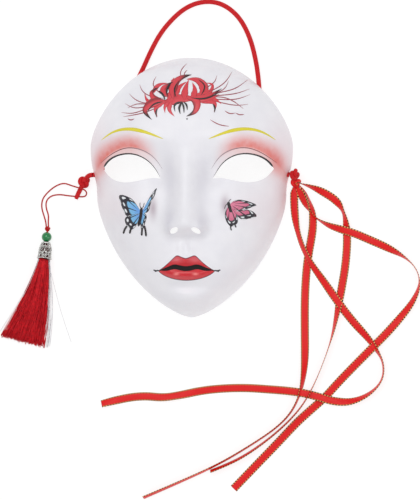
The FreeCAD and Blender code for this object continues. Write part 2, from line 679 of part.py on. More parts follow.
doc.recompute()
for item in doc.Objects:
    if "Invalid" in item.State or "Error" in item.State:
        raise RuntimeError("%s failed to build: %s" % (item.Label, item.State))
for item in sub_parts:
    if item.Shape.isNull() or not item.Shape.isValid():
        raise RuntimeError("%s has no valid shape" % item.Label)

os.makedirs("parts", exist_ok=True)
for item in sub_parts:
    item.Shape.exportStep("parts/%s.step" % item.Label)
    box = item.Shape.optimalBoundingBox(True, False)
    print("%-20s solids %d volume %9.1f  x %7.1f..%7.1f  y %7.1f..%7.1f  z %5.2f..%5.2f" % (
        item.Label, len(item.Shape.Solids), item.Shape.Volume,
        box.XMin, box.XMax, box.YMin, box.YMax, box.ZMin, box.ZMax))
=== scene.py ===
import json
import math

import bpy
import numpy as np
from mathutils import Matrix, Vector


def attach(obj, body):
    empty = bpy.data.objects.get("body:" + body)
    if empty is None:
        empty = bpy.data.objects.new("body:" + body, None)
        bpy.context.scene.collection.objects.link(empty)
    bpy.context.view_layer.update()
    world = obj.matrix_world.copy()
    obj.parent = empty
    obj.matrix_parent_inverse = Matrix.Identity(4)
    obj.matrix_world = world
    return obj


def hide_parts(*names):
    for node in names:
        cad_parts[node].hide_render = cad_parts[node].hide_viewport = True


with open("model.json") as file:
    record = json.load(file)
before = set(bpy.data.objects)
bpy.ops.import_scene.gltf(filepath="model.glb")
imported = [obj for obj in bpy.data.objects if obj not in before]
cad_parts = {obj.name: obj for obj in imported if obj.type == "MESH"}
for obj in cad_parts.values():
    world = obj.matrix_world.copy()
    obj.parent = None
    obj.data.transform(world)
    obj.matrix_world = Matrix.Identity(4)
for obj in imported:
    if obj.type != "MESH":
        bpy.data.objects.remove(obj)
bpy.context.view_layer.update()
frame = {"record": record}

MM = 0.001

# ----------------------------------------
# The table, the lights and the camera.  The mask lies on its back on a white sheet under a
# wide soft light, and is seen from straight above, a little from its ribbon side.
# ----------------------------------------

scene = bpy.context.scene
scene.view_settings.view_transform = "Standard"
VIEW_MIDDLE = np.array([15.4, -52.9, 0.0]) * MM
VIEW_HEIGHT = 423.0 * MM
CAMERA_DISTANCE = 5.0
CAMERA_LEAN = math.radians(4.5)

world = bpy.data.worlds.new("studio")
world.use_nodes = True
world.node_tree.nodes["Background"].inputs["Color"].default_value = (1.0, 1.0, 1.0, 1.0)
world.node_tree.nodes["Background"].inputs["Strength"].default_value = 0.62
scene.world = world


def lamp(name, place, aim, side, power):
    """A square soft light at a place, facing a point."""
    light = bpy.data.lights.new(name, "AREA")
    light.shape = "SQUARE"
    light.size = side
    light.energy = power
    holder = bpy.data.objects.new(name, light)
    holder.location = place
    holder.rotation_euler = (Vector(aim) - Vector(place)).to_track_quat("-Z", "Y").to_euler()
    scene.collection.objects.link(holder)


lamp("overhead_softbox", (-0.35, 0.55, 1.6), (0.0, 0.0, 0.0), 1.1, 9.0)
lamp("front_softbox", (0.9, -0.5, 1.2), (0.0, 0.0, 0.0), 0.9, 3.6)

camera_data = bpy.data.cameras.new("camera")
camera_data.sensor_fit = "VERTICAL"
camera_data.sensor_height = 24.0
camera_data.lens = 24.0 * CAMERA_DISTANCE / VIEW_HEIGHT
camera = bpy.data.objects.new("camera", camera_data)
scene.collection.objects.link(camera)
sight = Vector((-math.sin(CAMERA_LEAN), 0.0, -math.cos(CAMERA_LEAN)))
camera.location = Vector(VIEW_MIDDLE) - sight * CAMERA_DISTANCE
right = Vector((math.cos(CAMERA_LEAN), 0.0, -math.sin(CAMERA_LEAN)))
camera.matrix_world = Matrix((
    (right.x, 0.0, -sight.x, camera.location.x),
    (right.y, 1.0, -sight.y, camera.location.y),
    (right.z, 0.0, -sight.z, camera.location.z),
    (0.0, 0.0, 0.0, 1.0)))
scene.camera = camera


class Number:
    """A socket that carries a number; arithmetic on it adds Math nodes."""

    def __init__(self, finish, socket):
        self.finish = finish
        self.socket = socket

    def math(self, operation, *others, clamp=False):
        values = [self.socket] + [getattr(other, "socket", other) for other in others]
        node = self.finish.node("Math", {"operation": operation, "use_clamp": clamp}, dict(enumerate(values)))
        return Number(self.finish, node.outputs[0])

    def __add__(self, other):
        return self.math("ADD", other)

    __radd__ = __add__

    def __mul__(self, other):
        return self.math("MULTIPLY", other)

    __rmul__ = __mul__

    def __sub__(self, other):
        return self.math("SUBTRACT", other)

    def __rsub__(self, other):
        return (self * -1.0) + other

    def __truediv__(self, other):
        return self.math("DIVIDE", other)

    def __pow__(self, other):
        return self.math("POWER", other)

    def __abs__(self):
        return self.math("ABSOLUTE")

    def least(self, other):
        return self.math("MINIMUM", other)

    def most(self, other):
        return self.math("MAXIMUM", other)

    def clamped(self):
        return self.math("ADD", 0.0, clamp=True)

    def sine(self):
        return self.math("SINE")

    def fraction(self):
        return self.math("FRACT")

    def bell(self, middle, radius):
        """exp(-((value - middle) / radius) ** 2)"""
        share = (self - middle) * (1.0 / radius)
        return (share * share * -1.0).math("EXPONENT")

    def soft_least(self, other, softness):
        """The lesser of two numbers, with the corner between them rounded."""
        return self.math("SMOOTH_MIN", other, softness)

    def step(self, low, high):
        """A smooth step: 0 below low, 1 above high (the other way round where low > high)."""
        node = self.finish.node(
            "MapRange", {"interpolation_type": "SMOOTHSTEP", "clamp": True},
            {"Value": self.socket, "From Min": low, "From Max": high})
        return Number(self.finish, node.outputs["Result"])


class Finish:
    """A procedural finish on one Principled shader; constants go straight on its sockets."""

    def __init__(self, name, **constants):
        self.material = bpy.data.materials.new(name)
        self.material.use_nodes = True
        self.tree = self.material.node_tree
        self.shader = self.tree.nodes["Principled BSDF"]
        for socket, value in constants.items():
            self.shader.inputs[socket.replace("_", " ")].default_value = value

    def node(self, kind, settings=None, inputs=None):
        """Any node: its type, its settings, then values or links for its sockets."""
        node = self.tree.nodes.new("ShaderNode" + kind)
        for key, value in (settings or {}).items():
            setattr(node, key, value)
        for key, value in (inputs or {}).items():
            value = getattr(value, "socket", value)
            if isinstance(value, bpy.types.NodeSocket):
                self.tree.links.new(value, node.inputs[key])
            elif value is not None:
                node.inputs[key].default_value = value
        return node

    def place(self):
        """The three Object coordinates in millimetres."""
        coordinates = self.node("TexCoord").outputs["Object"]
        scaled = self.node("VectorMath", {"operation": "SCALE"}, {0: coordinates, "Scale": 1000.0})
        parts = self.node("SeparateXYZ", {}, {0: scaled.outputs["Vector"]})
        return [Number(self, parts.outputs[axis]) for axis in "XYZ"]

    def uv(self):
        """The piece's own UV map as two numbers."""
        parts = self.node("SeparateXYZ", {}, {0: self.node("UVMap").outputs[0]})
        return Number(self, parts.outputs["X"]), Number(self, parts.outputs["Y"])

    def joined(self, x, y):
        """Two numbers as the X and Y of a vector."""
        return self.node("CombineXYZ", {}, {"X": x, "Y": y}).outputs[0]

    def noise(self, scale, detail=2.0, vector=None):
        """Smooth noise about 0.5; scale is in repeats per metre on Object coordinates."""
        vector = vector or self.node("TexCoord").outputs["Object"]
        node = self.node("TexNoise", {}, {"Vector": vector, "Scale": scale, "Detail": detail})
        return Number(self, node.outputs["Fac"])

    def mix(self, share, first, second):
        """A colour between two colours."""
        node = self.node("Mix", {"data_type": "RGBA"})
        for index, value in ((0, share), (6, first), (7, second)):
            value = getattr(value, "socket", value)
            if isinstance(value, bpy.types.NodeSocket):
                self.tree.links.new(value, node.inputs[index])
            else:
                node.inputs[index].default_value = value
        return node.outputs[2]

    def feed(self, **links):
        """Link numbers or colours to the shader's sockets."""
        for socket, value in links.items():
            self.tree.links.new(getattr(value, "socket", value), self.shader.inputs[socket.replace("_", " ")])

    def bump(self, height, depth):
        """Surface relief: height from 0 to 1, depth in metres."""
        node = self.node("Bump", {}, {"Height": height, "Distance": depth, "Strength": 1.0})
        self.tree.links.new(node.outputs["Normal"], self.shader.inputs["Normal"])


def paint(red, green, blue):
    """An 8-bit display colour as a linear RGBA."""
    share = np.array([red, green, blue]) / 255.0
    linear = np.where(share <= 0.04045, share / 12.92, ((share + 0.055) / 1.055) ** 2.4)
    return (*[float(value) for value in linear], 1.0)


paper = Finish("white_light_table", Roughness=0.9, Emission_Color=(1.0, 1.0, 1.0, 1.0), Emission_Strength=0.8)
paper_grain = paper.noise(900.0)
paper.feed(Base_Color=paper.mix(paper_grain, paint(132, 132, 132), paint(138, 138, 138)))
table_mesh = bpy.data.meshes.new("table")
TABLE_HALF = 3.0
table_mesh.from_pydata(
    [(x * TABLE_HALF, y * TABLE_HALF, 0.0) for x, y in ((-1, -1), (1, -1), (1, 1), (-1, 1))],
    [], [(0, 1, 2, 3)])
table_mesh.materials.append(paper.material)
table = bpy.data.objects.new("table", table_mesh)
scene.collection.objects.link(table)

# ----------------------------------------
# The elastic strap: one length of round braided elastic, 4 mm thick.  It is threaded in
# through both side holes, runs inside the shell and arches over the forehead.
# ----------------------------------------

STRAP_DIAMETER = 4.0 * MM
HOLE_X = 83.24
HOLE_Y = 10.6
HOLE_Z = 9.5
STRAP_ROUTE = np.array([
    (HOLE_X, HOLE_Y, HOLE_Z), (75.2, 11.0, 9.3), (75.4, 20.5, 8.4), (73.8, 31.0, 7.2), (68.5, 44.5, 5.6),
    (61.5, 59.0, 3.8), (57.8, 75.0, 2.4), (56.8, 91.0, 2.1), (54.4, 108.0, 2.1), (49.6, 126.5, 2.1),
    (41.5, 142.5, 2.1), (30.5, 152.8, 2.1), (18.5, 157.4, 2.1), (5.5, 156.6, 2.1), (-6.5, 151.2, 2.1),
    (-17.0, 142.0, 2.1), (-26.5, 130.5, 2.1), (-34.5, 116.0, 2.1), (-42.0, 99.0, 2.1), (-51.5, 80.0, 2.4),
    (-60.5, 61.0, 3.8), (-68.5, 45.0, 5.6), (-73.8, 31.0, 7.2), (-75.4, 20.5, 8.4), (-75.2, 11.0, 9.3),
    (-HOLE_X, HOLE_Y, HOLE_Z)]) * MM


def smooth_line(route):
    """The points of the smooth NURBS line that has the route as its control points."""
    curve = bpy.data.curves.new("line", "CURVE")
    curve.dimensions = "3D"
    curve.resolution_u = 16
    spline = curve.splines.new("NURBS")
    spline.points.add(len(route) - 1)
    spline.points.foreach_set("co", np.hstack([route, np.ones((len(route), 1))]).ravel())
    spline.order_u = 3
    spline.use_endpoint_u = True
    holder = bpy.data.objects.new("line", curve)
    scene.collection.objects.link(holder)
    bpy.context.view_layer.update()
    mesh = bpy.data.meshes.new_from_object(holder.evaluated_get(bpy.context.evaluated_depsgraph_get()))
    points = np.empty(len(mesh.vertices) * 3)
    mesh.vertices.foreach_get("co", points)
    bpy.data.objects.remove(holder)
    bpy.data.curves.remove(curve)
    bpy.data.meshes.remove(mesh)
    return points.reshape(-1, 3)


def run_length(line):
    """Distance along a line at each of its points, starting at 0."""
    return np.concatenate([[0.0], np.cumsum(np.linalg.norm(np.diff(line, axis=0), axis=1))])


def evenly(line, spacing):
    """The same line with points about that far apart."""
    far = run_length(line)
    at = np.linspace(0.0, far[-1], max(4, int(round(far[-1] / spacing)) + 1))
    return np.stack([np.interp(at, far, line[:, axis]) for axis in range(3)], axis=1)


def unit(vectors):
    """Vectors divided by their lengths."""
    return vectors / np.maximum(np.linalg.norm(vectors, axis=-1, keepdims=True), 1e-12)


def put_mesh(name, points, quads, uvs, finish, caps=()):
    """A mesh object from a vertex array, quads with one UV per corner, and flat end caps."""
    mesh = bpy.data.meshes.new(name)
    sizes = [4] * len(quads) + [len(cap) for cap in caps]
    corners = np.concatenate([np.asarray(quads).ravel()] + [np.asarray(cap) for cap in caps]).astype(np.int32)
    corner_uvs = np.concatenate([np.asarray(uvs).reshape(-1, 2)] + [np.zeros((len(cap), 2)) for cap in caps])
    mesh.vertices.add(len(points))
    mesh.vertices.foreach_set("co", np.asarray(points, dtype=np.float32).ravel())
    mesh.loops.add(len(corners))
    mesh.loops.foreach_set("vertex_index", corners)
    mesh.polygons.add(len(sizes))
    mesh.polygons.foreach_set("loop_start", np.concatenate([[0], np.cumsum(sizes)[:-1]]).astype(np.int32))
    mesh.polygons.foreach_set("use_smooth", np.array([True] * len(quads) + [False] * len(caps)))
    mesh.uv_layers.new(name="UVMap")
    mesh.uv_layers[0].data.foreach_set("uv", corner_uvs.astype(np.float32).ravel())
    mesh.update(calc_edges=True)
    mesh.validate()
    mesh.materials.append(finish.material)
    piece = bpy.data.objects.new(name, mesh)
    scene.collection.objects.link(piece)
    return piece


def grid_quads(rows, columns, closed=False):
    """Quads of a grid of vertices, row by row; closed joins the last column to the first."""
    steps = columns if closed else columns - 1
    row, column = np.meshgrid(np.arange(rows - 1), np.arange(steps), indexing="ij")
    row, column = row.ravel(), column.ravel()
    following = (column + 1) % columns
    return np.stack([
        row * columns + column, row * columns + following,
        (row + 1) * columns + following, (row + 1) * columns + column], axis=1)


def two_skins(rows, columns):
    """Quads of two grids of vertices: the first as it is, the second one behind it and facing
    the other way, and the band that joins the two round their edge."""
    count = rows * columns
    index = np.arange(count).reshape(rows, columns)
    edge = np.concatenate([index[0], index[1:, -1], index[-1, -2::-1], index[-2:0:-1, 0]])
    after = np.roll(edge, -1)
    front = grid_quads(rows, columns)
    return front, front[:, ::-1] + count, np.stack([edge, edge + count, after + count, after], axis=1)


def grid_uvs(along, across):
    """UVs of a grid's quads: across the columns in x, along the rows in y."""
    row, column = np.meshgrid(np.arange(len(along) - 1), np.arange(len(across) - 1), indexing="ij")
    row, column = row.ravel(), column.ravel()
    u0, u1, v0, v1 = across[column], across[column + 1], along[row], along[row + 1]
    return np.stack([np.stack(pair, axis=1) for pair in ((u0, v0), (u1, v0), (u1, v1), (u0, v1))], axis=1)


def tubes(name, lines, radius, sides, finish, facing=(0.0, 0.0, 1.0)):
    """Round closed tubes in one mesh, all with the same number of points: each ring is
    centre + radius * (side * cos + up * sin), where side and up are square to the line."""
    lines = np.asarray(lines)
    count, rings = lines.shape[:2]
    ahead = unit(np.gradient(lines, axis=1))
    side = unit(np.cross(np.broadcast_to(facing, lines.shape), ahead))
    up = np.cross(ahead, side)
    turn = np.linspace(0.0, 2.0 * math.pi, sides, endpoint=False)
    reach = np.broadcast_to(radius, (count, rings))[:, :, None, None]
    shape = lines[:, :, None] + reach * (
        side[:, :, None] * np.cos(turn)[:, None] + up[:, :, None] * np.sin(turn)[:, None])
    block = rings * sides
    starts = np.arange(count) * block
    quads = (grid_quads(rings, sides, closed=True)[None] + starts[:, None, None]).reshape(-1, 4)
    far = run_length(lines[0]) / MM
    uvs = np.tile(grid_uvs(far, np.linspace(0.0, 1.0, sides + 1)), (count, 1, 1))
    ring = np.arange(sides)
    caps = [start + ring[::-1] for start in starts] + [start + block - sides + ring for start in starts]
    return put_mesh(name, shape.reshape(-1, 3), quads, uvs, finish, caps)


def tube(name, line, radius, sides, finish, facing=(0.0, 0.0, 1.0)):
    """One round closed tube; radius is one number or one per point."""
    return tubes(name, [line], radius, sides, finish, facing)


def braided(name, dark, light, turns, pitch, depth):
    """A braid of threads: two sets of slanting lines over each other, round and along a tube
    whose UV is turns round in x and millimetres in y."""
    finish = Finish(name, Roughness=0.62, Specular_IOR_Level=0.3)
    around, far = finish.uv()
    one = ((around * turns + far * (1.0 / pitch)) * (2.0 * math.pi)).sine()
    two = ((around * turns - far * (1.0 / pitch)) * (2.0 * math.pi)).sine()
    weave = one.most(two) * 0.5 + 0.5
    fuzz = finish.noise(2500.0, 3.0)
    finish.feed(Base_Color=finish.mix((weave * 0.75 + fuzz * 0.35 - 0.1).clamped(), dark, light))
    finish.bump(weave + fuzz * 0.4, depth)
    return finish


elastic = braided("red_braided_elastic", paint(158, 8, 16), paint(232, 26, 34), 8.0, 1.9, 0.25 * MM)
strap_line = evenly(smooth_line(STRAP_ROUTE), 1.0 * MM)
strap = tube("elastic_strap_cord", strap_line, STRAP_DIAMETER / 2.0, 20, elastic)
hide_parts("elastic_strap")
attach(strap, "strap")

# ----------------------------------------
# The strap's ends: an overhand knot outside each side hole keeps it from pulling back
# through.  At the tassel's side the elastic has a short tail, and the tassel hangs on that.
# ----------------------------------------


def knot_line(centre, big, small, turn=0.0, tilt=0.0):
    """The middle line of an overhand knot pulled tight: a trefoil on a ring of radius big,
    which winds three times round the ring at distance small."""
    t = np.linspace(0.0, 2.0 * math.pi, 120)
    reach = big + small * np.cos(3.0 * t)
    line = np.stack(
        [reach * np.cos(2.0 * t), reach * np.sin(2.0 * t), small * 1.15 * np.sin(3.0 * t)], axis=1)
    spin = Matrix.Rotation(turn, 3, "Z") @ Matrix.Rotation(tilt, 3, "X")
    return line @ np.array(spin).T + centre


LEFT_KNOT = np.array([-91.24, 4.6, 4.7]) * MM
RIGHT_KNOT = np.array([87.64, 10.6, 9.5]) * MM
KNOT_STRAND = 1.75 * MM
KNOT_FACING = (0.31, 0.17, 0.93)

knot_turns = knot_line(LEFT_KNOT, 2.5 * MM, 1.35 * MM, 0.6, 0.5)
left_knot = tube("left_overhand_knot", knot_turns, KNOT_STRAND, 18, elastic, KNOT_FACING)
left_neck_line = evenly(smooth_line(np.array([
    (-HOLE_X - 0.3, HOLE_Y, HOLE_Z), (-86.0, 10.5, 9.4), (-88.8, 8.4, 7.4),
    (-90.4, 6.2, 5.6)]) * MM), 0.6 * MM)
left_neck = tube("left_strap_neck", left_neck_line, STRAP_DIAMETER / 2.0, 18, elastic)
left_tail_line = evenly(smooth_line(np.array([
    (-92.2, 3.0, 4.8), (-93.8, -0.6, 4.7), (-96.1, -4.9, 4.6), (-98.1, -9.6, 4.1)]) * MM), 0.6 * MM)
tail_share = np.linspace(0.0, 1.0, len(left_tail_line))
left_tail = tube(
    "left_strap_tail", left_tail_line, STRAP_DIAMETER / 2.0 * (1.0 - 0.25 * tail_share ** 8), 18, elastic)
right_turns = knot_line(RIGHT_KNOT, 2.4 * MM, 1.3 * MM, 1.3, 1.1)
right_knot = tube("right_overhand_knot", right_turns, KNOT_STRAND, 18, elastic, KNOT_FACING)
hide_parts("strap_end_left")
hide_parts("strap_knot_right")
for piece in (left_knot, left_neck, left_tail, right_knot):
    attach(piece, "mask")

# ----------------------------------------
# The ribbon tails: two 7 mm red satin ribbons folded in half and knotted on at the fold, so
# four tails lie loose on the table.  Black and gold metal threads run along both edges.
# ----------------------------------------

RIBBON_WIDTH = 7.0 * MM
RIBBON_THICKNESS = 0.32 * MM
RIBBON_KNOT = np.array([88.34, 4.0, 0.0])

satin = Finish("red_satin_ribbon", Roughness=0.4, Specular_IOR_Level=0.28)
ribbon_across, ribbon_far = satin.uv()
edge_distance = 0.5 - abs(ribbon_across - 0.5)
rib = (ribbon_far * (2.0 * math.pi / 0.55)).sine() * 0.5 + 0.5
# Painted sheen: soft streaks along the ribbon, varying across its width, lighten the red where satin would
# shine.
satin_painted_sheen = satin.noise(160.0, 2.0, satin.joined(ribbon_across * 4.0, ribbon_far * 0.02))
metal_band = edge_distance.step(0.150, 0.115)
METAL_DASH_PITCH = 2.4
dash_share = (ribbon_far * (1.0 / METAL_DASH_PITCH)).fraction()
dash = dash_share.step(0.42, 0.5) * dash_share.step(1.0, 0.93)
satin_colour = satin.mix((rib * 0.25 + satin_painted_sheen * 0.9 - 0.1).clamped(), paint(206, 14, 20), paint(248, 36, 34))
metal_colour = satin.mix(dash, paint(44, 16, 18), paint(232, 176, 104))
satin.feed(
    Base_Color=satin.mix(metal_band, satin_colour, metal_colour),
    Metallic=metal_band * 0.4,
    Roughness=0.36 - metal_band * 0.08 + rib * 0.05)
satin.bump(rib * 0.4 + metal_band * (1.0 + dash * 0.6), 0.12 * MM)


def flat_strip(name, line, twist, finish, width, thickness):
    """A ribbon carried along a line: its section is a thin lens that turns about the line by
    the twist, in radians, is lifted so that its lower edge stays on the table, and is gathered
    narrow over its first few millimetres, where it goes into the knot."""
    ahead = unit(np.gradient(line, axis=0))
    side = unit(np.cross(np.broadcast_to((0.0, 0.0, 1.0), line.shape), ahead))
    up = np.cross(ahead, side)
    turned_side = side * np.cos(twist)[:, None] + up * np.sin(twist)[:, None]
    turned_up = up * np.cos(twist)[:, None] - side * np.sin(twist)[:, None]
    half_height = width / 2.0 * np.abs(np.sin(twist)) + 0.4 * MM
    lifted = line.copy()
    lifted[:, 2] = np.maximum(line[:, 2], half_height)
    across = np.linspace(-0.5, 0.5, 15)
    cup = 0.35 * MM * (0.25 - across ** 2) * 4.0
    half_thick = thickness / 2.0 * (1.0 - 0.6 * np.abs(2.0 * across) ** 6)
    pinch = np.minimum(1.0, 0.45 + run_length(line) / (9.0 * MM))[:, None, None]
    top = np.stack([across * width, cup + half_thick], axis=1)
    bottom = np.stack([across[::-1] * width, (cup - half_thick)[::-1]], axis=1)
    section = np.concatenate([top, bottom])
    shape = lifted[:, None] + (
        turned_side[:, None] * section[None, :, 0, None] * pinch
        + turned_up[:, None] * section[None, :, 1, None])
    count = len(section)
    quads = grid_quads(len(line), count, closed=True)[:, ::-1]
    share = np.concatenate([across + 0.5, across[::-1] + 0.5, [0.0]])
    uvs = grid_uvs(run_length(line) / MM, share)[:, ::-1]
    last = (len(line) - 1) * count
    caps = [np.arange(count), last + np.arange(count)[::-1]]
    return put_mesh(name, shape.reshape(-1, 3), quads, uvs, finish, caps), lifted


# Each route is in plan from the ribbon knot and in height from the table; each twist is a list
# of shares of the length and the ribbon's turn there, in degrees: 0 flat, 90 on its edge.
RIBBONS = {
    "ribbon_tail_inner": (433.2, [
        (-1.1, -3.9, 2.6), (-1.8, -14.5, 1.6), (-0.5, -32.0, 0.5), (3.0, -47.0, 1.8),
        (7.5, -58.5, 3.4), (14.0, -70.0, 3.4), (22.5, -82.0, 1.9), (31.0, -94.0, 3.4),
        (40.5, -107.5, 3.4), (50.5, -120.0, 1.0), (60.5, -130.5, 0.5), (69.0, -142.0, 0.5),
        (74.5, -153.0, 0.5), (73.5, -167.0, 0.5), (63.0, -178.5, 0.5), (47.0, -185.5, 0.9),
        (32.0, -184.8, 3.4), (20.0, -181.0, 4.0), (6.0, -177.5, 4.4), (-7.0, -175.8, 3.6),
        (-22.5, -174.7, 0.9), (-42.0, -173.4, 0.5), (-62.0, -173.9, 0.5), (-80.0, -175.8, 0.5),
        (-97.0, -179.5, 0.5), (-113.0, -182.0, 0.5), (-128.5, -180.3, 0.5), (-147.0, -182.5, 0.5),
        (-165.0, -187.2, 0.5)],
        [(0.0, 6), (0.05, 14), (0.085, 50), (0.14, 50), (0.19, 25), (0.23, 4), (0.3, 6), (0.35, 42),
         (0.385, 74), (0.44, 76), (0.49, 50), (0.53, 12), (0.6, 2), (0.8, -8), (0.86, 24), (0.9, 4),
         (0.96, 0), (1.0, 34)]),
    "ribbon_tail_outer": (376.2, [
        (1.4, -3.9, 3.9), (4.8, -10.0, 3.4), (8.6, -19.5, 1.4), (16.0, -29.5, 0.5), (27.0, -36.0, 1.2),
        (36.5, -39.0, 3.4), (49.0, -42.5, 3.4), (60.5, -47.5, 0.8), (76.0, -54.2, 0.5),
        (92.0, -62.5, 0.5), (102.5, -72.5, 0.5), (105.5, -86.0, 0.5), (98.5, -101.5, 0.5),
        (87.5, -115.0, 1.2), (76.5, -127.5, 3.4), (61.5, -142.5, 3.4), (49.5, -154.5, 0.9),
        (35.0, -169.5, 0.5), (24.5, -181.5, 0.5), (12.5, -192.0, 1.6), (0.5, -202.8, 1.8),
        (-14.5, -219.0, 1.7), (-33.5, -238.6, 0.5), (-52.8, -258.7, 0.5)],
        [(0.0, 16), (0.03, 22), (0.065, 82), (0.09, 78), (0.115, 48), (0.15, 14), (0.22, 4),
         (0.26, 24), (0.295, 66), (0.32, 84), (0.36, 84), (0.39, 60), (0.44, 30), (0.49, 5), (0.6, 0),
         (0.8, -4), (1.0, 0)]),
    "ribbon_tail_middle": (343.2, [
        (3.2, -2.7, 7.2), (7.6, -6.6, 6.6), (11.5, -15.0, 5.0), (14.2, -25.0, 4.0), (14.6, -37.0, 3.4),
        (12.9, -48.0, 1.2), (10.6, -60.0, 0.5), (8.6, -76.0, 0.5), (7.4, -98.0, 0.5),
        (7.4, -124.0, 0.5), (7.7, -147.0, 0.8), (6.4, -165.0, 1.8), (3.0, -181.0, 2.0),
        (-5.0, -196.0, 2.0), (-18.0, -208.5, 2.0), (-39.0, -222.5, 2.0), (-63.0, -236.8, 1.9),
        (-92.0, -250.5, 0.8), (-129.3, -266.5, 0.5)],
        [(0.0, -82), (0.045, -78), (0.08, -34), (0.13, -4), (0.38, 0), (0.44, -28), (0.49, -58),
         (0.53, -78), (0.6, -80), (0.8, -76), (0.93, -70), (1.0, -68)]),
    "ribbon_tail_side": (312.7, [
        (3.9, -0.6, 4.9), (13.5, -3.4, 4.3), (24.5, -8.6, 2.4), (34.8, -15.5, 0.9), (40.8, -25.0, 0.5),
        (43.0, -38.0, 0.5), (43.3, -53.0, 0.5), (41.6, -72.0, 0.5), (38.6, -89.0, 0.5),
        (35.2, -109.0, 0.5), (30.8, -130.0, 0.5), (23.6, -152.0, 0.5), (14.2, -173.7, 0.5),
        (3.4, -191.8, 0.5), (-14.4, -209.9, 0.5), (-36.0, -226.3, 0.5), (-54.4, -237.0, 0.5),
        (-72.4, -244.0, 0.5)],
        [(0.0, 84), (0.03, 62), (0.07, 14), (0.11, 8), (0.14, 74), (0.17, 48), (0.21, 4), (0.36, 6),
         (0.42, 46), (0.47, 68), (0.52, 84), (0.58, 86), (0.68, 78), (0.8, 76), (0.92, 70), (1.0, 68)]),
}
for node, (length, route, turns) in RIBBONS.items():
    route = (np.array(route) + RIBBON_KNOT) * MM
    line = evenly(smooth_line(route), 1.2 * MM)
    share = run_length(line) / run_length(line)[-1]
    table_turns = np.array(turns, dtype=float)
    twist = np.interp(share, table_turns[:, 0], np.radians(table_turns[:, 1]))
    soften = np.hanning(15) / np.hanning(15).sum()
    twist = np.convolve(np.pad(twist, 7, mode="edge"), soften, mode="valid")
    ribbon, middle = flat_strip(node + "_satin", line, twist, satin, RIBBON_WIDTH, RIBBON_THICKNESS)
    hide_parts(node)
    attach(ribbon, "ribbons")

# ----------------------------------------
# The tassel's cord: one thin twisted polyester cord, laid as a loop round the strap's tail.
# Both of its ends come back to the small knot above the bead, and nothing else holds it.
# ----------------------------------------

CORD_DIAMETER = 1.2 * MM
# The route is in plan from the strap's knot at the tassel's side, and all of it lies 0.1 mm
# lower than its numbers say.
CORD_ORIGIN = np.array([-91.24, 4.6, -0.1])
CORD_ROUTE = np.array([
    (-32.2, -38.6, 3.4), (-32.6, -34.0, 2.2), (-34.6, -28.2, 0.9), (-36.6, -21.5, 0.9),
    (-36.0, -14.6, 0.9), (-31.6, -8.8, 1.0), (-25.0, -3.4, 1.6), (-17.5, -0.6, 3.2),
    (-11.0, -2.8, 6.4), (-5.2, -4.6, 8.6), (0.8, -6.3, 8.4), (2.7, -9.3, 4.8), (0.6, -12.6, 1.4),
    (-6.6, -12.2, 0.9), (-13.5, -11.6, 0.9), (-21.0, -10.4, 0.9), (-28.2, -11.4, 0.9),
    (-32.6, -15.6, 0.9), (-32.8, -21.8, 0.9), (-30.4, -28.2, 0.9), (-30.8, -34.0, 2.2),
    (-30.3, -38.4, 3.4)])
CORD_ROUTE = (CORD_ROUTE + CORD_ORIGIN) * MM
cord_thread = braided("red_twisted_cord", paint(120, 8, 10), paint(214, 26, 26), 3.0, 1.4, 0.12 * MM)
cord_line = evenly(smooth_line(CORD_ROUTE), 0.5 * MM)
tassel_loop = tube("tassel_cord_loop", cord_line, CORD_DIAMETER / 2.0, 12, cord_thread)
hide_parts("tassel_cord")
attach(tassel_loop, "tassel")

# ----------------------------------------
# The ribbon knot: both satin ribbons are folded in half and tied together at the fold, as one
# tight knot hard against the strap's right-hand knot, which keeps it on the mask.
# ----------------------------------------

ribbon_turns = knot_line((RIBBON_KNOT + (0.0, 0.0, 4.9)) * MM, 2.2 * MM, 1.1 * MM, 0.4, 0.7)
ribbon_knot = tube("ribbon_satin_knot", ribbon_turns, 1.6 * MM, 16, satin, KNOT_FACING)
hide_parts("ribbon_knot")
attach(ribbon_knot, "mask")

# ----------------------------------------
# The mask: a wall 1.6 mm thick, moulded over a form, painted white and varnished, with blush,
# eyeshadow and red lips.  Eyes, nostrils and both strap holes are cut through it, and the
# forehead's rim is trimmed to let the strap pass.
# ----------------------------------------

MASK_LENGTH = 220.0
MASK_WIDTH = 171.6
DOME_HEIGHT = 60.0
WALL = 1.6
NOSE = 19.5
WIDEST_Y = 35.0
TIP_GAP = 0.02
TRIM_FROM = 45.0
TRIM_TO = 130.0
TRIM_BELOW = -20.0
TRIM_SLOPE = 5.3 / 41.0
TRIM_HALF_WIDTH = 120.0
# Where each cutter starts and ends: heights for eyes and nostrils, distance from the mid-line
# for the strap holes.
EYE_CUT = (-10.0, 120.0)
NOSTRIL_CUT = (30.0, 120.0)
HOLE_CUT = (68.0, 100.0)
HOLE_RADIUS = 2.75
NOSTRIL_X = 9.2
NOSTRIL_Y = -36.6
NOSTRIL_HALF_LENGTH = 4.0
NOSTRIL_HALF_WIDTH = 2.2
NOSTRIL_LEAN = math.radians(-28.0)


def bell(distance, radius):
    """exp(-(distance / radius) ** 2)"""
    return np.exp(-((distance / radius) ** 2))


def mound(x, y, centre_x, centre_y, radius_x, radius_y):
    """A mound of height 1 at a place, and its mirror image across the mid-line."""
    across = bell(x - centre_x, radius_x)
    if centre_x:
        across = across + bell(x + centre_x, radius_x)
    return across * bell(y - centre_y, radius_y)


def rise(value, middle, softness):
    """A smooth rise from 0 to 1 about the middle: 1 / (1 + exp(-(value - middle) / softness))."""
    return 1.0 / (1.0 + np.exp(-(value - middle) / softness))


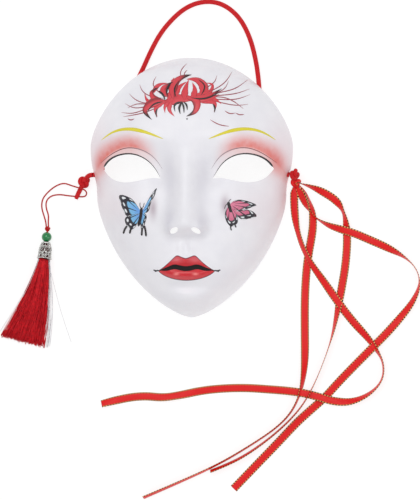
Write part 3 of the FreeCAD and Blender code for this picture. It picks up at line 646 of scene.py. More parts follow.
def half_width(y):
    """Half the outline's width: round above the temples, a long taper to the chin."""
    above = np.clip((y - WIDEST_Y) / (MASK_LENGTH / 2.0 - WIDEST_Y), 0.0, 1.0)
    below = np.clip((WIDEST_Y - y) / (MASK_LENGTH / 2.0 + WIDEST_Y), 0.0, 1.0)
    brow = MASK_WIDTH / 2.0 * np.sqrt(1.0 - above ** 1.5)
    waist = 3.2 * bell(y - 6.0, 16.0) * np.minimum(1.0, 4.0 * below)
    taper = MASK_WIDTH / 2.0 * (1.0 - below ** 2.2) ** 0.69 - waist
    return np.where(y >= WIDEST_Y, brow, taper)


def face_height(x, y):
    """Height of the outer face: a dome that falls to the rim, plus the features' mounds."""
    across = np.minimum(1.0, np.abs(x) / np.maximum(half_width(y), 1e-6))
    along = np.abs(y) / (MASK_LENGTH / 2.0)
    crown = np.sqrt(np.maximum(0.0, 1.0 - along ** np.where(y > 0.0, 3.6, 4.6)))
    flank = np.sqrt(np.maximum(0.0, 1.0 - across ** (2.4 + 0.6 * rise(y, -20.0, 22.0))))
    ridge = NOSE * np.clip((40.0 - y) / 68.0, 0.0, 1.0) ** 1.25 * rise(y, -38.5, 2.0)
    nose = ridge * np.exp(-np.abs(x / (8.0 + 5.5 * rise(y, -14.0, -9.0))) ** 2.3)
    nose = nose + 6.5 * mound(x, y, 13.0, -33.5, 5.2, 6.0) + 2.5 * mound(x, y, 0.0, -28.5, 7.5, 7.0)
    brow = 3.0 * mound(x, y, 43.0, 43.0, 30.0, 9.0) + 1.5 * mound(x, y, 0.0, 40.0, 14.0, 12.0)
    sockets = -6.0 * mound(x, y, 23.0, 13.0, 9.0, 14.0) - 4.0 * mound(x, y, 47.0, 18.0, 25.0, 13.0)
    cheeks = 4.5 * mound(x, y, 52.0, -14.0, 20.0, 17.0) - 3.0 * mound(x, y, 45.0, -52.0, 15.0, 18.0)
    lip_span = np.exp(-np.abs(x / 21.0) ** 4)
    lips = 3.6 * lip_span * bell(y + 61.5 + 7.0 * (x / 27.0) ** 2, 3.4)
    lips = lips + 4.8 * lip_span * bell(y + 73.4 - 5.0 * (x / 27.0) ** 2, 4.0)
    muzzle = 3.5 * mound(x, y, 0.0, -63.0, 27.0, 19.0)
    philtrum = 0.8 * mound(x, y, 4.6, -51.0, 2.4, 6.0) - mound(x, y, 0.0, -51.0, 2.6, 6.0)
    chin = 7.5 * mound(x, y, 0.0, -95.0, 19.0, 11.0) - 3.5 * mound(x, y, 0.0, -84.0, 17.0, 4.5)
    relief = nose + brow + sockets + cheeks + muzzle + lips + philtrum + chin
    return DOME_HEIGHT * crown * flank + relief * flank ** 0.6 * crown ** 0.5


def through(points, count):
    """Points on the natural cubic spline through the given points."""
    points = np.asarray(points, dtype=float)
    at = run_length(points)
    gap = np.diff(at)
    system = np.eye(len(points))
    wanted = np.zeros_like(points)
    inner = np.arange(1, len(points) - 1)
    system[inner, inner - 1] = gap[:-1]
    system[inner, inner] = 2.0 * (gap[:-1] + gap[1:])
    system[inner, inner + 1] = gap[1:]
    slope = np.diff(points, axis=0) / gap[:, None]
    wanted[1:-1] = 6.0 * np.diff(slope, axis=0)
    bend = np.linalg.solve(system, wanted)
    place = np.linspace(0.0, at[-1], count)
    k = np.clip(np.searchsorted(at, place, side="right") - 1, 0, len(gap) - 1)
    left, right_part, width = (at[k + 1] - place)[:, None], (place - at[k])[:, None], gap[k][:, None]
    return (bend[k] * left ** 3 + bend[k + 1] * right_part ** 3) / (6.0 * width) + (
        points[k] / width - bend[k] * width / 6.0) * left + (
        points[k + 1] / width - bend[k + 1] * width / 6.0) * right_part


def prism(outline, low, high):
    """Vertices and faces of an upright prism on a closed outline."""
    count = len(outline)
    area = np.sum(outline[:, 0] * np.roll(outline[:, 1], -1) - outline[:, 1] * np.roll(outline[:, 0], -1))
    ordered = outline if area > 0.0 else outline[::-1]
    points = [(x, y, z) for z in (low, high) for x, y in ordered]
    sides = [(i, (i + 1) % count, count + (i + 1) % count, count + i) for i in range(count)]
    return points, sides + [tuple(range(count))[::-1], tuple(range(count, 2 * count))]


ROWS, COLUMNS = 201, 171
row_angle = math.asin(1.0 - TIP_GAP / (MASK_LENGTH / 2.0)) * np.linspace(-1.0, 1.0, ROWS)
face_y = np.broadcast_to((MASK_LENGTH / 2.0 * np.sin(row_angle))[:, None], (ROWS, COLUMNS))
face_x = half_width(face_y) * np.sin(math.pi * np.linspace(-0.5, 0.5, COLUMNS))[None]
face_z = face_height(face_x, face_y)
face_z[:, [0, -1]] = 0.0
outer = np.stack([face_x, face_y, face_z], axis=2).reshape(-1, 3) * MM
inner = outer * (1.0 - 2.0 * WALL / MASK_WIDTH, 1.0 - 2.0 * WALL / MASK_LENGTH, 1.0 - WALL / DOME_HEIGHT)
shell_skins = two_skins(ROWS, COLUMNS)
shell_quads = np.concatenate(shell_skins)

UPPER_LID = [(22.0, 7.0), (29.7, 18.8), (42.0, 26.4), (57.2, 26.4), (68.8, 19.8), (72.0, 15.2)]
LOWER_LID = [(72.0, 15.2), (65.2, 7.8), (50.3, 3.8), (36.6, 6.1), (27.5, 7.4), (22.0, 7.0)]
upper_lid = through(UPPER_LID, 48)
lower_lid = through(LOWER_LID, 48)
circle = np.linspace(0.0, 2.0 * math.pi, 40, endpoint=False)
cutters = []
for mirror in (-1.0, 1.0):
    eye = np.concatenate([upper_lid[:-1], lower_lid[:-1]]) * (mirror, 1.0)
    cutters.append(prism(eye * MM, *np.array(EYE_CUT) * MM))
    lean = NOSTRIL_LEAN * mirror
    long_way = NOSTRIL_HALF_LENGTH * np.cos(circle)
    short_way = NOSTRIL_HALF_WIDTH * np.sin(circle)
    nostril = np.stack([
        NOSTRIL_X * mirror + long_way * math.cos(lean) - short_way * math.sin(lean),
        NOSTRIL_Y + long_way * math.sin(lean) + short_way * math.cos(lean)], axis=1)
    cutters.append(prism(nostril * MM, *np.array(NOSTRIL_CUT) * MM))
    ring = np.stack([HOLE_Y + HOLE_RADIUS * np.cos(circle), HOLE_Z + HOLE_RADIUS * np.sin(circle)], axis=1)
    hole_points, hole_faces = prism(ring * MM, *np.array(HOLE_CUT) * MM)
    hole_points = [(mirror * out, across, up) for across, up, out in hole_points]
    if mirror < 0.0:
        hole_faces = [face[::-1] for face in hole_faces]
    cutters.append((hole_points, hole_faces))
trim = [
    (TRIM_FROM, TRIM_BELOW), (TRIM_TO, TRIM_BELOW), (TRIM_TO, (TRIM_TO - TRIM_FROM) * TRIM_SLOPE),
    (TRIM_FROM, 0.0)]
trim_points = [(side * TRIM_HALF_WIDTH * MM, y * MM, z * MM) for side in (-1.0, 1.0) for y, z in trim]
trim_faces = [(3, 2, 1, 0), (4, 5, 6, 7)] + [(i, (i + 1) % 4, 4 + (i + 1) % 4, 4 + i) for i in range(4)]
cutters.append((trim_points, trim_faces))

tool_points, tool_faces = [], []
for points, faces in cutters:
    tool_faces += [tuple(len(tool_points) + corner for corner in face) for face in faces]
    tool_points += points
tool_mesh = bpy.data.meshes.new("mask_cutters")
tool_mesh.from_pydata(tool_points, [], tool_faces)
tool = bpy.data.objects.new("mask_cutters", tool_mesh)
scene.collection.objects.link(tool)

varnish = Finish("painted_white_shell", Roughness=0.42, Coat_Weight=0.25, Coat_Roughness=0.25)
face_px, face_py = varnish.place()[:2]
off_mid = abs(face_px)
mottle = varnish.noise(60.0, 3.0)
grain = varnish.noise(1400.0, 3.0)
colour = varnish.mix(mottle, paint(228, 227, 234), paint(243, 242, 246))
temple_blush = off_mid.bell(80.0, 13.0) * face_py.bell(20.0, 34.0)
cheek_blush = off_mid.bell(58.0, 17.0) * face_py.bell(-16.0, 16.0)
colour = varnish.mix((temple_blush * 0.35 + cheek_blush * 0.14).clamped(), colour, paint(236, 190, 196))
from_apex = off_mid - 48.5
crease_line = 33.2 - from_apex * from_apex * 0.0205
brow_line = 48.6 - from_apex * from_apex * 0.0122
up_band = (face_py - crease_line) / (brow_line - crease_line).most(4.0)
brush = varnish.noise(240.0, 3.0) * 0.5 + 0.75
outward = off_mid.step(20.0, 46.0) * off_mid.step(84.0, 73.0)
over_crease = up_band.step(-0.1, 0.06) * up_band.step(1.05, 0.0)
in_lid = up_band.step(0.1, -0.02) * (face_py - crease_line).step(-14.0, -2.0)
colour = varnish.mix((over_crease * outward * 0.86 * brush).clamped(), colour, paint(226, 104, 92))
lid_tint = (in_lid * off_mid.step(18.0, 50.0) * 0.5 * brush).clamped()
colour = varnish.mix(lid_tint, colour, paint(236, 158, 150))
corner = off_mid.bell(75.0, 7.0) * face_py.bell(19.0, 9.0)
colour = varnish.mix((corner * 0.6 * brush).clamped(), colour, paint(216, 104, 100))
# Painted shade: a grey-lavender darkening beside the nose bridge and down the sides of the nose, where its
# relief lies in shade.
shade_beside_nose_bridge = off_mid.bell(14.0, 6.0) * face_py.bell(10.0, 20.0)
painted_nose_shade = shade_beside_nose_bridge + off_mid.bell(13.5, 4.0) * face_py.bell(-30.0, 12.0)
colour = varnish.mix((painted_nose_shade * 0.28).clamped(), colour, paint(184, 180, 196))
for middle_x, middle_y, wide, tall in ((-27.8, -17.5, 3.4, 9.0), (32.6, -15.5, 3.6, 8.0)):
    wing_shadow = face_px.bell(middle_x, wide) * face_py.bell(middle_y, tall)
    colour = varnish.mix(wing_shadow * 0.62, colour, paint(158, 132, 146))

peak = ((off_mid * -1.0 + 24.0) / 16.0).most(0.0) ** 1.29 * 12.9 - 70.0
bow = (off_mid / 8.0) ** 1.3 * 3.1 - 59.7
lip_top = peak.soft_least(bow, 4.5)
lip_bottom = (1.0 - (off_mid / 24.0) * (off_mid / 24.0)).most(0.0) ** 0.7 * -8.6 - 70.0
gap_middle = off_mid.bell(9.5, 5.0) * 1.6 - 68.5 - (off_mid / 23.0) ** 3.0 * 1.6
gap_half = ((1.0 - (off_mid / 22.5) ** 4.0) * 2.1).most(0.35)
inside_lips = (lip_top - face_py).step(-0.15, 0.15) * (face_py - lip_bottom).step(-0.15, 0.15)
inside_lips = inside_lips * off_mid.step(24.2, 23.8)
edge_lips = (lip_top - face_py).least(face_py - lip_bottom)
lip_colour = varnish.mix(varnish.noise(500.0, 2.0), paint(192, 14, 32), paint(222, 32, 46))
# Painted highlights on the lips: a pale pink patch on the upper lip and a near-white spot on the lower lip,
# standing in for their shine.
upper_lip_painted_highlight = off_mid.bell(8.0, 6.0) * face_py.bell(-60.5, 3.0) * 0.7
lower_lip_painted_highlight = off_mid.bell(8.0, 2.2) * face_py.bell(-73.0, 1.0) * 0.8
lip_colour = varnish.mix(upper_lip_painted_highlight, lip_colour, paint(214, 104, 112))
lip_colour = varnish.mix(lower_lip_painted_highlight, lip_colour, paint(250, 150, 145))
lip_colour = varnish.mix(edge_lips.step(0.9, 0.5), lip_colour, paint(90, 10, 35))
colour = varnish.mix(inside_lips, colour, lip_colour)
in_gap = (gap_half - abs(face_py - gap_middle)).step(-0.1, 0.1) * off_mid.step(27.2, 26.8)
colour = varnish.mix(in_gap, colour, paint(14, 8, 10))
varnish.feed(
    Base_Color=colour, Roughness=0.46 - inside_lips * 0.16 + in_gap * 0.5 + grain * 0.06,
    Coat_Weight=0.25 - in_gap * 0.25)
varnish.bump(grain * 0.5 + mottle * 0.5, 0.12 * MM)

bare = Finish("bare_moulded_inside", Roughness=0.8)
fibre = bare.noise(420.0, 4.0)
bare.feed(Base_Color=bare.mix(fibre, paint(214, 212, 214), paint(236, 234, 234)))
bare.bump(fibre, 0.3 * MM)

raw_shell = put_mesh(
    "raw_shell", np.concatenate([outer, inner]), shell_quads, np.zeros((len(shell_quads), 4, 2)), varnish)
raw_shell.data.materials.append(bare.material)
face_counts = [len(skin) for skin in shell_skins]
raw_shell.data.polygons.foreach_set("material_index", np.repeat([0, 1, 0], face_counts).astype(np.int32))
cut = raw_shell.modifiers.new("cut", "BOOLEAN")
cut.operation = "DIFFERENCE"
cut.solver = "EXACT"
cut.object = tool
bpy.context.view_layer.update()
shell_mesh = bpy.data.meshes.new_from_object(raw_shell.evaluated_get(bpy.context.evaluated_depsgraph_get()))
shell_mesh.set_sharp_from_angle(angle=math.radians(38.0))
mask = bpy.data.objects.new("mask_painted_shell", shell_mesh)
scene.collection.objects.link(mask)
for spare in (raw_shell, tool):
    bpy.data.objects.remove(spare)
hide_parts("mask_shell")
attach(mask, "mask")

# ----------------------------------------
# The painted eyes: eyeliner along the lid, a fine crease above it, and yellow brows.  Each
# is a film of paint with its own thickness on the face.
# ----------------------------------------

# Strokes of one film that cross lie in turn on one of a few levels, so that none share a place.
LAYER_STEP = 0.012
LAYERS = 7
HIDDEN_SKIN = -0.3


def on_face(plan, lift):
    """Points on the outer face above points of the plan, moved out square to it, in metres."""
    x, y = plan[..., 0], plan[..., 1]
    step = 0.4
    slope_x = (face_height(x + step, y) - face_height(x - step, y)) / (2.0 * step)
    slope_y = (face_height(x, y + step) - face_height(x, y - step)) / (2.0 * step)
    out = unit(np.stack([-slope_x, -slope_y, np.ones_like(x)], axis=-1))
    return (np.stack([x, y, face_height(x, y)], axis=-1) + out * np.asarray(lift)[..., None]) * MM


def films(name, grids, finish, lift=0.12):
    """Closed films of paint: each plan grid becomes a top skin just over the face and a
    hidden skin under it, joined round the edge.  UV is 0 to 1 along the rows and columns."""
    points, quads, uvs = [], [], []
    first = 0
    for order, plan in enumerate(grids):
        rows, columns = plan.shape[:2]
        turned = np.cross(plan[1, 0] - plan[0, 0], plan[0, -1] - plan[0, 0])
        plan = plan[:, ::-1] if turned > 0.0 else plan
        high = lift + LAYER_STEP * (order % LAYERS)
        points += [on_face(plan, high).reshape(-1, 3), on_face(plan, HIDDEN_SKIN).reshape(-1, 3)]
        top, under, band = two_skins(rows, columns)
        quads += [top + first, under + first, band + first]
        across = np.linspace(0.0, 1.0, columns)
        across = across[::-1] if turned > 0.0 else across
        top_uvs = grid_uvs(np.linspace(0.0, 1.0, rows), across)
        uvs += [top_uvs, top_uvs[:, ::-1], np.zeros((len(band), 4, 2))]
        first += 2 * rows * columns
    return put_mesh(name, np.concatenate(points), np.concatenate(quads), np.concatenate(uvs), finish)


def stroke(points, width, start=0.12, end=0.12, count=28, columns=5, point=0.6):
    """The plan grid of one brush stroke through some points.  Its half width is
    width / 2 * (share / start) ** point near the start and the same towards the end."""
    line = through(points, count)
    ahead = unit(np.gradient(line, axis=0))
    side = np.stack([-ahead[:, 1], ahead[:, 0]], axis=1)
    share = np.linspace(0.0, 1.0, count)
    taper = np.minimum(1.0, share / start) ** point * np.minimum(1.0, (1.0 - share) / end) ** point
    half = np.maximum(width / 2.0 * taper, 0.05)
    across = np.linspace(-1.0, 1.0, columns)[None, :, None]
    return line[:, None] + side[:, None] * half[:, None, None] * across


def mirrored(points):
    """The points on the mask's right side and on its left."""
    return [[(side * x, y) for x, y in points] for side in (-1.0, 1.0)]


def paint_film(name, low, high, rough):
    """A flat hand-painted colour with brush streaks along the stroke."""
    finish = Finish(name, Roughness=rough, Coat_Weight=0.2)
    across, along = finish.uv()
    streak = finish.noise(6.0, 3.0, finish.joined(across * 3.0, along * 0.6))
    finish.feed(Base_Color=finish.mix((streak * 1.4 - 0.2).clamped(), low, high))
    finish.bump(streak, 0.05 * MM)
    return finish


black_paint = paint_film("black_paint", paint(16, 12, 16), paint(38, 30, 34), 0.35)
yellow_paint = paint_film("yellow_paint", paint(206, 190, 22), paint(236, 226, 66), 0.5)
liner = []
for side in (-1.0, 1.0):
    liner.append(stroke(upper_lid[1:-1] * (side, 1.0) + (0.0, 0.35), 1.45, 0.9, 0.04, 60))
crease = mirrored([(20.5, 15.0), (28.5, 25.5), (40.0, 31.6), (50.0, 32.6), (62.0, 28.6), (74.5, 20.0)])
brows = mirrored([(19.0, 40.0), (32.0, 45.0), (50.0, 48.4), (63.0, 45.8), (73.5, 39.4)])
eyeliner = films("eyeliner_film", liner, black_paint)
crease_paint = Finish("crease_paint", Roughness=0.5)
crease_along = crease_paint.uv()[1]
crease_paint.feed(Base_Color=crease_paint.mix(
    crease_along.step(0.2, 0.75), paint(150, 138, 146), paint(120, 34, 40)))
creases = films("lid_crease_film", [stroke(points, 0.6, 0.3, 0.3, 60) for points in crease], crease_paint)
brow_film = films("eyebrow_film", [stroke(points, 3.1, 0.42, 0.62, 60) for points in brows], yellow_paint)
hooks = mirrored([(23.4, -69.9), (26.0, -70.2), (28.2, -69.5)])
mouth_corners = films("mouth_corner_film", [stroke(points, 1.0) for points in hooks], black_paint)
for piece in (eyeliner, creases, brow_film, mouth_corners):
    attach(piece, "mask")

# ----------------------------------------
# The painted flower: a spider lily in red on the forehead, each petal one tapered brush
# stroke.  Some petals end in black, and thin stamens fan out to both sides.
# ----------------------------------------


def petal_paint(name, tip_dark):
    """Red brushwork, darker along its edges; tip_dark blackens the last part of the stroke."""
    finish = Finish(name, Roughness=0.4, Coat_Weight=0.2)
    across, along = finish.uv()
    edge = abs(across - 0.5) * 2.0
    streak = finish.noise(7.0, 3.0, finish.joined(across * 4.0, along * 0.5))
    colour = finish.mix((streak * 1.6 - 0.3).clamped(), paint(200, 42, 58), paint(226, 72, 82))
    colour = finish.mix(edge.step(0.72, 1.0) * 0.6, colour, paint(140, 22, 36))
    dark = along.step(0.62, 0.9) * tip_dark + (across - streak * 0.3).step(0.3, 0.0) * tip_dark * 0.5
    finish.feed(Base_Color=finish.mix(dark.clamped(), colour, paint(30, 14, 20)))
    finish.bump(streak, 0.06 * MM)
    return finish


RED_PETALS = [
    (9, (-21, 69.3), (-10, 73), (0, 74), (12, 73)), (8, (9, 74.9), (14, 82.4), (9, 89), (-1, 90.4)),
    (5.9, (-2, 72.1), (-1.5, 81.5), (1, 90)), (4, (-29, 77.7), (-25, 84.8), (-17, 87.1)),
    (3.5, (-25, 70.2), (-33, 72.1), (-36, 78.7)), (5, (-17, 71.2), (-23, 69.3), (-26, 64.6), (-24.5, 58.5)),
    (3.1, (-14, 71.2), (-18, 67.4), (-18, 61.8)), (5.2, (6, 74), (16, 72.1), (24, 69.3), (23, 62.7)),
    (3.5, (12, 75.9), (20, 80.6), (21, 85.3), (15, 87.1)), (5.4, (8, 74), (18, 74), (27, 77.3)),
    (2.8, (-14, 87.1), (-12.5, 89), (-11.6, 91.8)), (5, (-9, 74), (-8, 81.5), (-1, 88.1)),
    (5, (-16, 71.2), (-13, 78.7), (-6, 85.3)), (5.2, (3, 73), (6.5, 79.6), (4, 87.6)),
    (4.2, (13, 74), (22, 74), (29, 69.3)), (4, (-12, 72.1), (-14.5, 65.5), (-10, 58.9)),
    (4.5, (-20, 72.1), (-28, 73), (-36, 69.3)), (3.8, (2, 74), (12, 77.7), (22, 82.4))]
TIPPED_PETALS = [
    (7.6, (-11, 73), (-12, 82.4), (-8, 90), (3, 94.2)), (6.1, (-15, 74.9), (-20, 81.5), (-12, 88.1)),
    (5.7, (-17, 72.1), (-26, 73), (-30, 78.7), (-24, 83.4)),
    (7.3, (-17, 72.1), (-28, 70.2), (-35, 64.6), (-29, 56.1)),
    (6.8, (0, 74), (8, 71.2), (8, 64.6), (0, 58.9)), (4, (3, 74.9), (12, 74.9), (21, 77.7), (29, 82.4))]
DARK_LINES = [
    (1.7, (-3, 71.2), (-10, 68.3), (-9.5, 62.7)), (1.9, (-3.4, 71.2), (-6, 66.5), (-5, 60.8)),
    (1.5, (-2.6, 71.2), (0, 68.3), (0.6, 64.1)), (1.6, (-4, 71.2), (-2.4, 66.5), (-2, 61.8)),
    (1.3, (4, 74.5), (12, 73.6), (20, 75.3), (28, 80)), (1.2, (-9, 74.9), (-10.5, 82.4), (-7, 89)),
    (1.3, (-20, 71.2), (-28, 68.7), (-33, 62.7)), (1.1, (12, 76.8), (14.5, 84.3), (9, 90)),
    (1.2, (0.4, 57.2), (0.6, 56.7), (0.8, 56.1)), (1.6, (-24, 80.6), (-20, 76.8), (-18, 72.1)),
    (1.5, (-14, 86.2), (-17, 80.6), (-16, 74.9)), (1.4, (22, 69.3), (23.6, 66.5), (23.4, 62.1)),
    (1.3, (-24.6, 65.5), (-25.6, 61.8), (-24.8, 58))]
STAMENS = [
    [(-19, 72.1), (-34, 70.2), (-44, 73.5), (-50, 78.7)],
    [(-19, 71.2), (-34, 67.4), (-45, 66.5), (-53, 70.2)],
    [(-20, 70.2), (-36, 64.6), (-46, 61.8), (-56, 62.7)],
    [(-19, 69.3), (-34, 62.7), (-44, 60.4), (-54, 58.9)],
    [(-18, 74), (-30, 75.9), (-38, 80.6), (-41, 86.2)],
    [(-17, 74.9), (-25, 80.6), (-29, 86.2), (-27, 92.8)],
    [(-16, 71.2), (-33, 69.3), (-43, 69.3), (-50, 66.5)],
    [(-4, 90), (-6.5, 95.6), (-5, 100.3), (-2, 104.1)], [(-2, 90.9), (-3, 95.6), (-1, 98.4)],
    [(9, 76.8), (18, 84.3), (23, 89), (24, 93.7)], [(10, 76.8), (24, 82.4), (32, 89), (36, 97.5)],
    [(10, 75.9), (24, 78.7), (31, 82.4), (34, 89)], [(12, 75.9), (30, 79.6), (41, 83.4), (49, 90.9)],
    [(12, 74.9), (30, 76.8), (42, 78.7), (51, 82.4)], [(12, 74.9), (32, 73), (43, 74), (52, 77.7)],
    [(12, 74), (30, 70.2), (42, 68.3), (51, 69.3)], [(14, 74), (30, 74.9), (38, 72.1), (47, 65.5)],
    [(32, 63.6), (36, 61.4), (41, 61.8)], [(41, 61.8), (44, 60.4), (48, 60.8)],
    [(20, 56.1), (28, 51.9), (36, 50.5)], [(-50, 57.1), (-47, 56.1), (-44, 57.1)]]


def petals(items):
    """Broad strokes with slow tapers, from lists of a width and then the points."""
    return [stroke(item[1:], item[0], 0.3, 0.62, point=0.85) for item in items]


lily = films("lily_red_petals_film", petals(RED_PETALS), petal_paint("petal_red", 0.0))
lily_tipped = films(
    "lily_tipped_petals_film", petals(TIPPED_PETALS), petal_paint("petal_red_and_black", 1.0), 0.2)
lily_lines = films(
    "lily_black_line_film", [stroke(item[1:], item[0], 0.3, 0.5) for item in DARK_LINES], black_paint, 0.3)
stamen_paint = paint_film("stamen_paint", paint(96, 30, 44), paint(196, 76, 92), 0.45)
stamen_strokes = [stroke(points, 0.75, 0.25, 0.3, 28, 3) for points in STAMENS]
stamens = films("lily_stamen_film", stamen_strokes, stamen_paint, 0.1)

# ----------------------------------------
# The painted butterflies: a blue one under the right eye and a pink one under the left eye,
# in flat colour with black veins, a black border with pale dots, tails and a thin body.
# ----------------------------------------


def wing(root, outline, rows=9, count=44):
    """The plan grid of a wing: rays from the root to a smooth outline, as shares of the ray."""
    rim = through(outline, count)
    share = np.linspace(0.03, 1.0, rows)[:, None, None]
    return np.asarray(root, dtype=float) + (rim[None] - np.asarray(root)) * share


def wing_paint(name, near, far, ray_count, border):
    """Colour that pales outwards from the body, with dark veins along the rays and a dark
    border with pale dots round the wing's edge."""
    finish = Finish(name, Roughness=0.42, Coat_Weight=0.2)
    around, out = finish.uv()
    cloud = finish.noise(5.0, 3.0, finish.joined(around * 3.0, out * 3.0))
    colour = finish.mix((out * 1.1 + cloud * 0.6 - 0.4).clamped(), near, far)
    vein = abs((around * ray_count * math.pi).sine())
    lines = vein.step(0.34, 0.2) * out.step(0.12, 0.3)
    rim = (out + cloud * 0.16 - 0.08).step(border - 0.05, border + 0.02)
    sides = abs(around - 0.5).step(0.47, 0.49)
    spot = finish.joined(around * ray_count * 1.5, out * 5.0)
    cells = finish.node("TexVoronoi", {}, {"Vector": spot, "Scale": 1.0, "Randomness": 0.25})
    dots = Number(finish, cells.outputs["Distance"]).step(0.36, 0.26) * out.step(border + 0.04, border + 0.1)
    ink = lines.most(rim).most(sides)
    colour = finish.mix(ink, colour, paint(34, 30, 42))
    finish.feed(Base_Color=finish.mix(dots * ink, colour, paint(232, 236, 240)))
    finish.bump(cloud, 0.04 * MM)
    return finish


BLUE_ROOT = (-37.4, -21.7)
PINK_ROOT = (36.7, -14.7)
BLUE_WINGS = [
    [(0, 0), (-3.6, 5.6), (-7.7, 10.9), (-13.4, 14.0), (-19.3, 14.7), (-18.6, 8.6), (-16.4, 3.0),
     (-13.7, -2.1), (0, -1)],
    [(0, -1), (-6.6, -1.6), (-12.6, -2.8), (-15.0, -5.6), (-14.4, -8.8), (-11.8, -12.2), (-8.8, -14.0),
     (-4.2, -9.0), (0, -2)],
    [(0, 0.5), (4.2, 8.0), (8.2, 15.2), (12.6, 20.4), (11.0, 14.4), (7.9, 8.0), (4.9, 0.4), (1.4, -0.8)],
    [(0.4, -0.5), (2.4, -0.6), (3.9, -1.8), (3.6, -6.2), (2.1, -10.5), (0.0, -15.1), (-1.4, -7.0),
     (-0.4, -1.4)]]
PINK_WINGS = [
    [(0, 0), (3.2, 2.7), (7.4, 3.8), (11.6, 3.4), (17.0, 1.8), (21.4, -0.7), (16.8, -2.8), (12.0, -5.0),
     (7.4, -7.0), (0.4, -1)],
    [(0.6, -1.6), (8.4, -6.2), (15.1, -5.0), (19.2, -6.4), (21.4, -9.8), (15.6, -11.8), (9.8, -12.6),
     (4.6, -8.4), (0.4, -2.4)],
    [(0, -1.4), (-2.5, -3.4), (-4.2, -8.6), (-3.2, -14.0), (1.1, -18.6), (5.2, -16.4), (6.7, -12.3),
     (3.6, -6.2), (0.6, -1.8)]]


def placed(root, points):
    """Points measured from a root as points on the face."""
    return np.asarray(points, dtype=float) + np.asarray(root)


blue_wings = films(
    "blue_butterfly_wing_film", [wing(BLUE_ROOT, placed(BLUE_ROOT, outline)) for outline in BLUE_WINGS],
    wing_paint("blue_wing_paint", paint(104, 160, 232), paint(142, 208, 226), 5.0, 0.65))
pink_wings = films(
    "pink_butterfly_wing_film", [wing(PINK_ROOT, placed(PINK_ROOT, outline)) for outline in PINK_WINGS],
    wing_paint("pink_wing_paint", paint(226, 128, 158), paint(196, 84, 118), 5.0, 0.74))
INSECT_LINES = [
    (BLUE_ROOT, [
        (2.5, (-0.1, 4.4), (-0.6, -1.0), (-1.8, -6.5), (-3.2, -11.4)),
        (0.45, (-0.2, 3.2), (-1.4, 6.0), (-1.2, 8.6)),
        (0.45, (0.0, 3.2), (1.6, 5.4), (2.2, 8.4)), (1.6, (-13.0, -10.8), (-15.4, -14.0), (-16.8, -17.6)),
        (1.6, (-9.2, -12.6), (-10.4, -15.0), (-10.9, -17.4)),
        (1.5, (0.2, -13.4), (-0.2, -16.4), (-0.4, -19.2)),
        (1.5, (2.0, -10.6), (3.0, -15.0), (3.5, -19.9))]),
    (PINK_ROOT, [
        (2.4, (-1.4, 2.2), (-0.6, -1.6), (1.2, -6.8)), (0.45, (-0.8, 1.2), (-0.4, 3.0), (1.1, 4.2)),
        (0.45, (-1.2, 1.0), (-3.4, -0.8), (-4.6, -3.9)), (1.0, (0.4, -17.8), (0.4, -20.0), (0.9, -21.8)),
        (1.0, (3.6, -16.6), (4.2, -18.0), (4.6, -19.3))])]
insect_lines = films(
    "butterfly_black_line_film",
    [stroke(placed(root, item[1:]), item[0]) for root, lines in INSECT_LINES for item in lines],
    black_paint, 0.28)
for piece in (lily, lily_tipped, lily_lines, stamens, blue_wings, pink_wings, insect_lines):
    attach(piece, "mask")

# ----------------------------------------
# The tassel's bead: a ball of green jade, bored through and polished.  The doubled cord runs
# through it, and it turns freely between the small knot and the cap.
# ----------------------------------------

BEAD_RADIUS = 4.25
bead_joint = {joint["name"]: joint for joint in frame["record"]["behaviour"]["joints"]}["bead_spin"]
BEAD_CENTRE = np.array(bead_joint["pos_m"]) / MM
TASSEL_AXIS = unit(np.array(bead_joint["axis"], dtype=float))
TASSEL_SIDE = unit(np.cross(TASSEL_AXIS, (0.0, 0.0, 1.0)))
TASSEL_UP = np.cross(TASSEL_SIDE, TASSEL_AXIS)


def round_axis(angle, radius, along):
    """Points at an angle and radius round the tassel's axis, along it from the bead, metres."""
    angle, radius, along = (np.asarray(value, dtype=float)[..., None] for value in (angle, radius, along))
    return (BEAD_CENTRE + TASSEL_AXIS * along + radius * (
        TASSEL_SIDE * np.cos(angle) + TASSEL_UP * np.sin(angle))) * MM


def lathe(name, profile, finish, sides=48):
    """A closed ring of a profile of (radius, along) turned round the tassel's axis."""
    loop = np.array(list(profile) + [profile[0]], dtype=float)
    turn = np.linspace(0.0, 2.0 * math.pi, sides, endpoint=False)
    rings = round_axis(turn, loop[:-1, :1], loop[:-1, 1:])
    rows = len(loop) - 1
    quads = grid_quads(rows + 1, sides, closed=True) % (rows * sides)
    area = np.sum(loop[:-1, 0] * loop[1:, 1] - loop[1:, 0] * loop[:-1, 1])
    uvs = grid_uvs(run_length(loop), np.linspace(0.0, 1.0, sides + 1))
    if area > 0.0:
        quads, uvs = quads[:, ::-1], uvs[:, ::-1]
    return put_mesh(name, rings.reshape(-1, 3), quads, uvs, finish)


jade = Finish("green_jade", Roughness=0.12, Coat_Weight=0.6, Coat_Roughness=0.05)
vein = jade.noise(210.0, 5.0)
cloud = jade.noise(520.0, 3.0)
jade_colour = jade.mix((vein * 1.8 - 0.4).clamped(), paint(0, 96, 46), paint(6, 142, 72))
jade.feed(Base_Color=jade.mix((cloud * 1.6 - 1.0).clamped(), jade_colour, paint(70, 170, 110)))
bead_turn = np.linspace(0.24, math.pi - 0.24, 40)
bead_profile = [(BEAD_RADIUS * math.sin(a), -BEAD_RADIUS * math.cos(a)) for a in bead_turn]
bead = lathe("jade_bead_ball", bead_profile, jade)
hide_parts("jade_bead")
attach(bead, "bead")

# ----------------------------------------
# The filigree cap: silver wire scrolls soldered between two rings into a pierced bell, over
# the red bound head of the tassel.
# ----------------------------------------

CAP_START = 4.85
CAP_LENGTH = 14.0


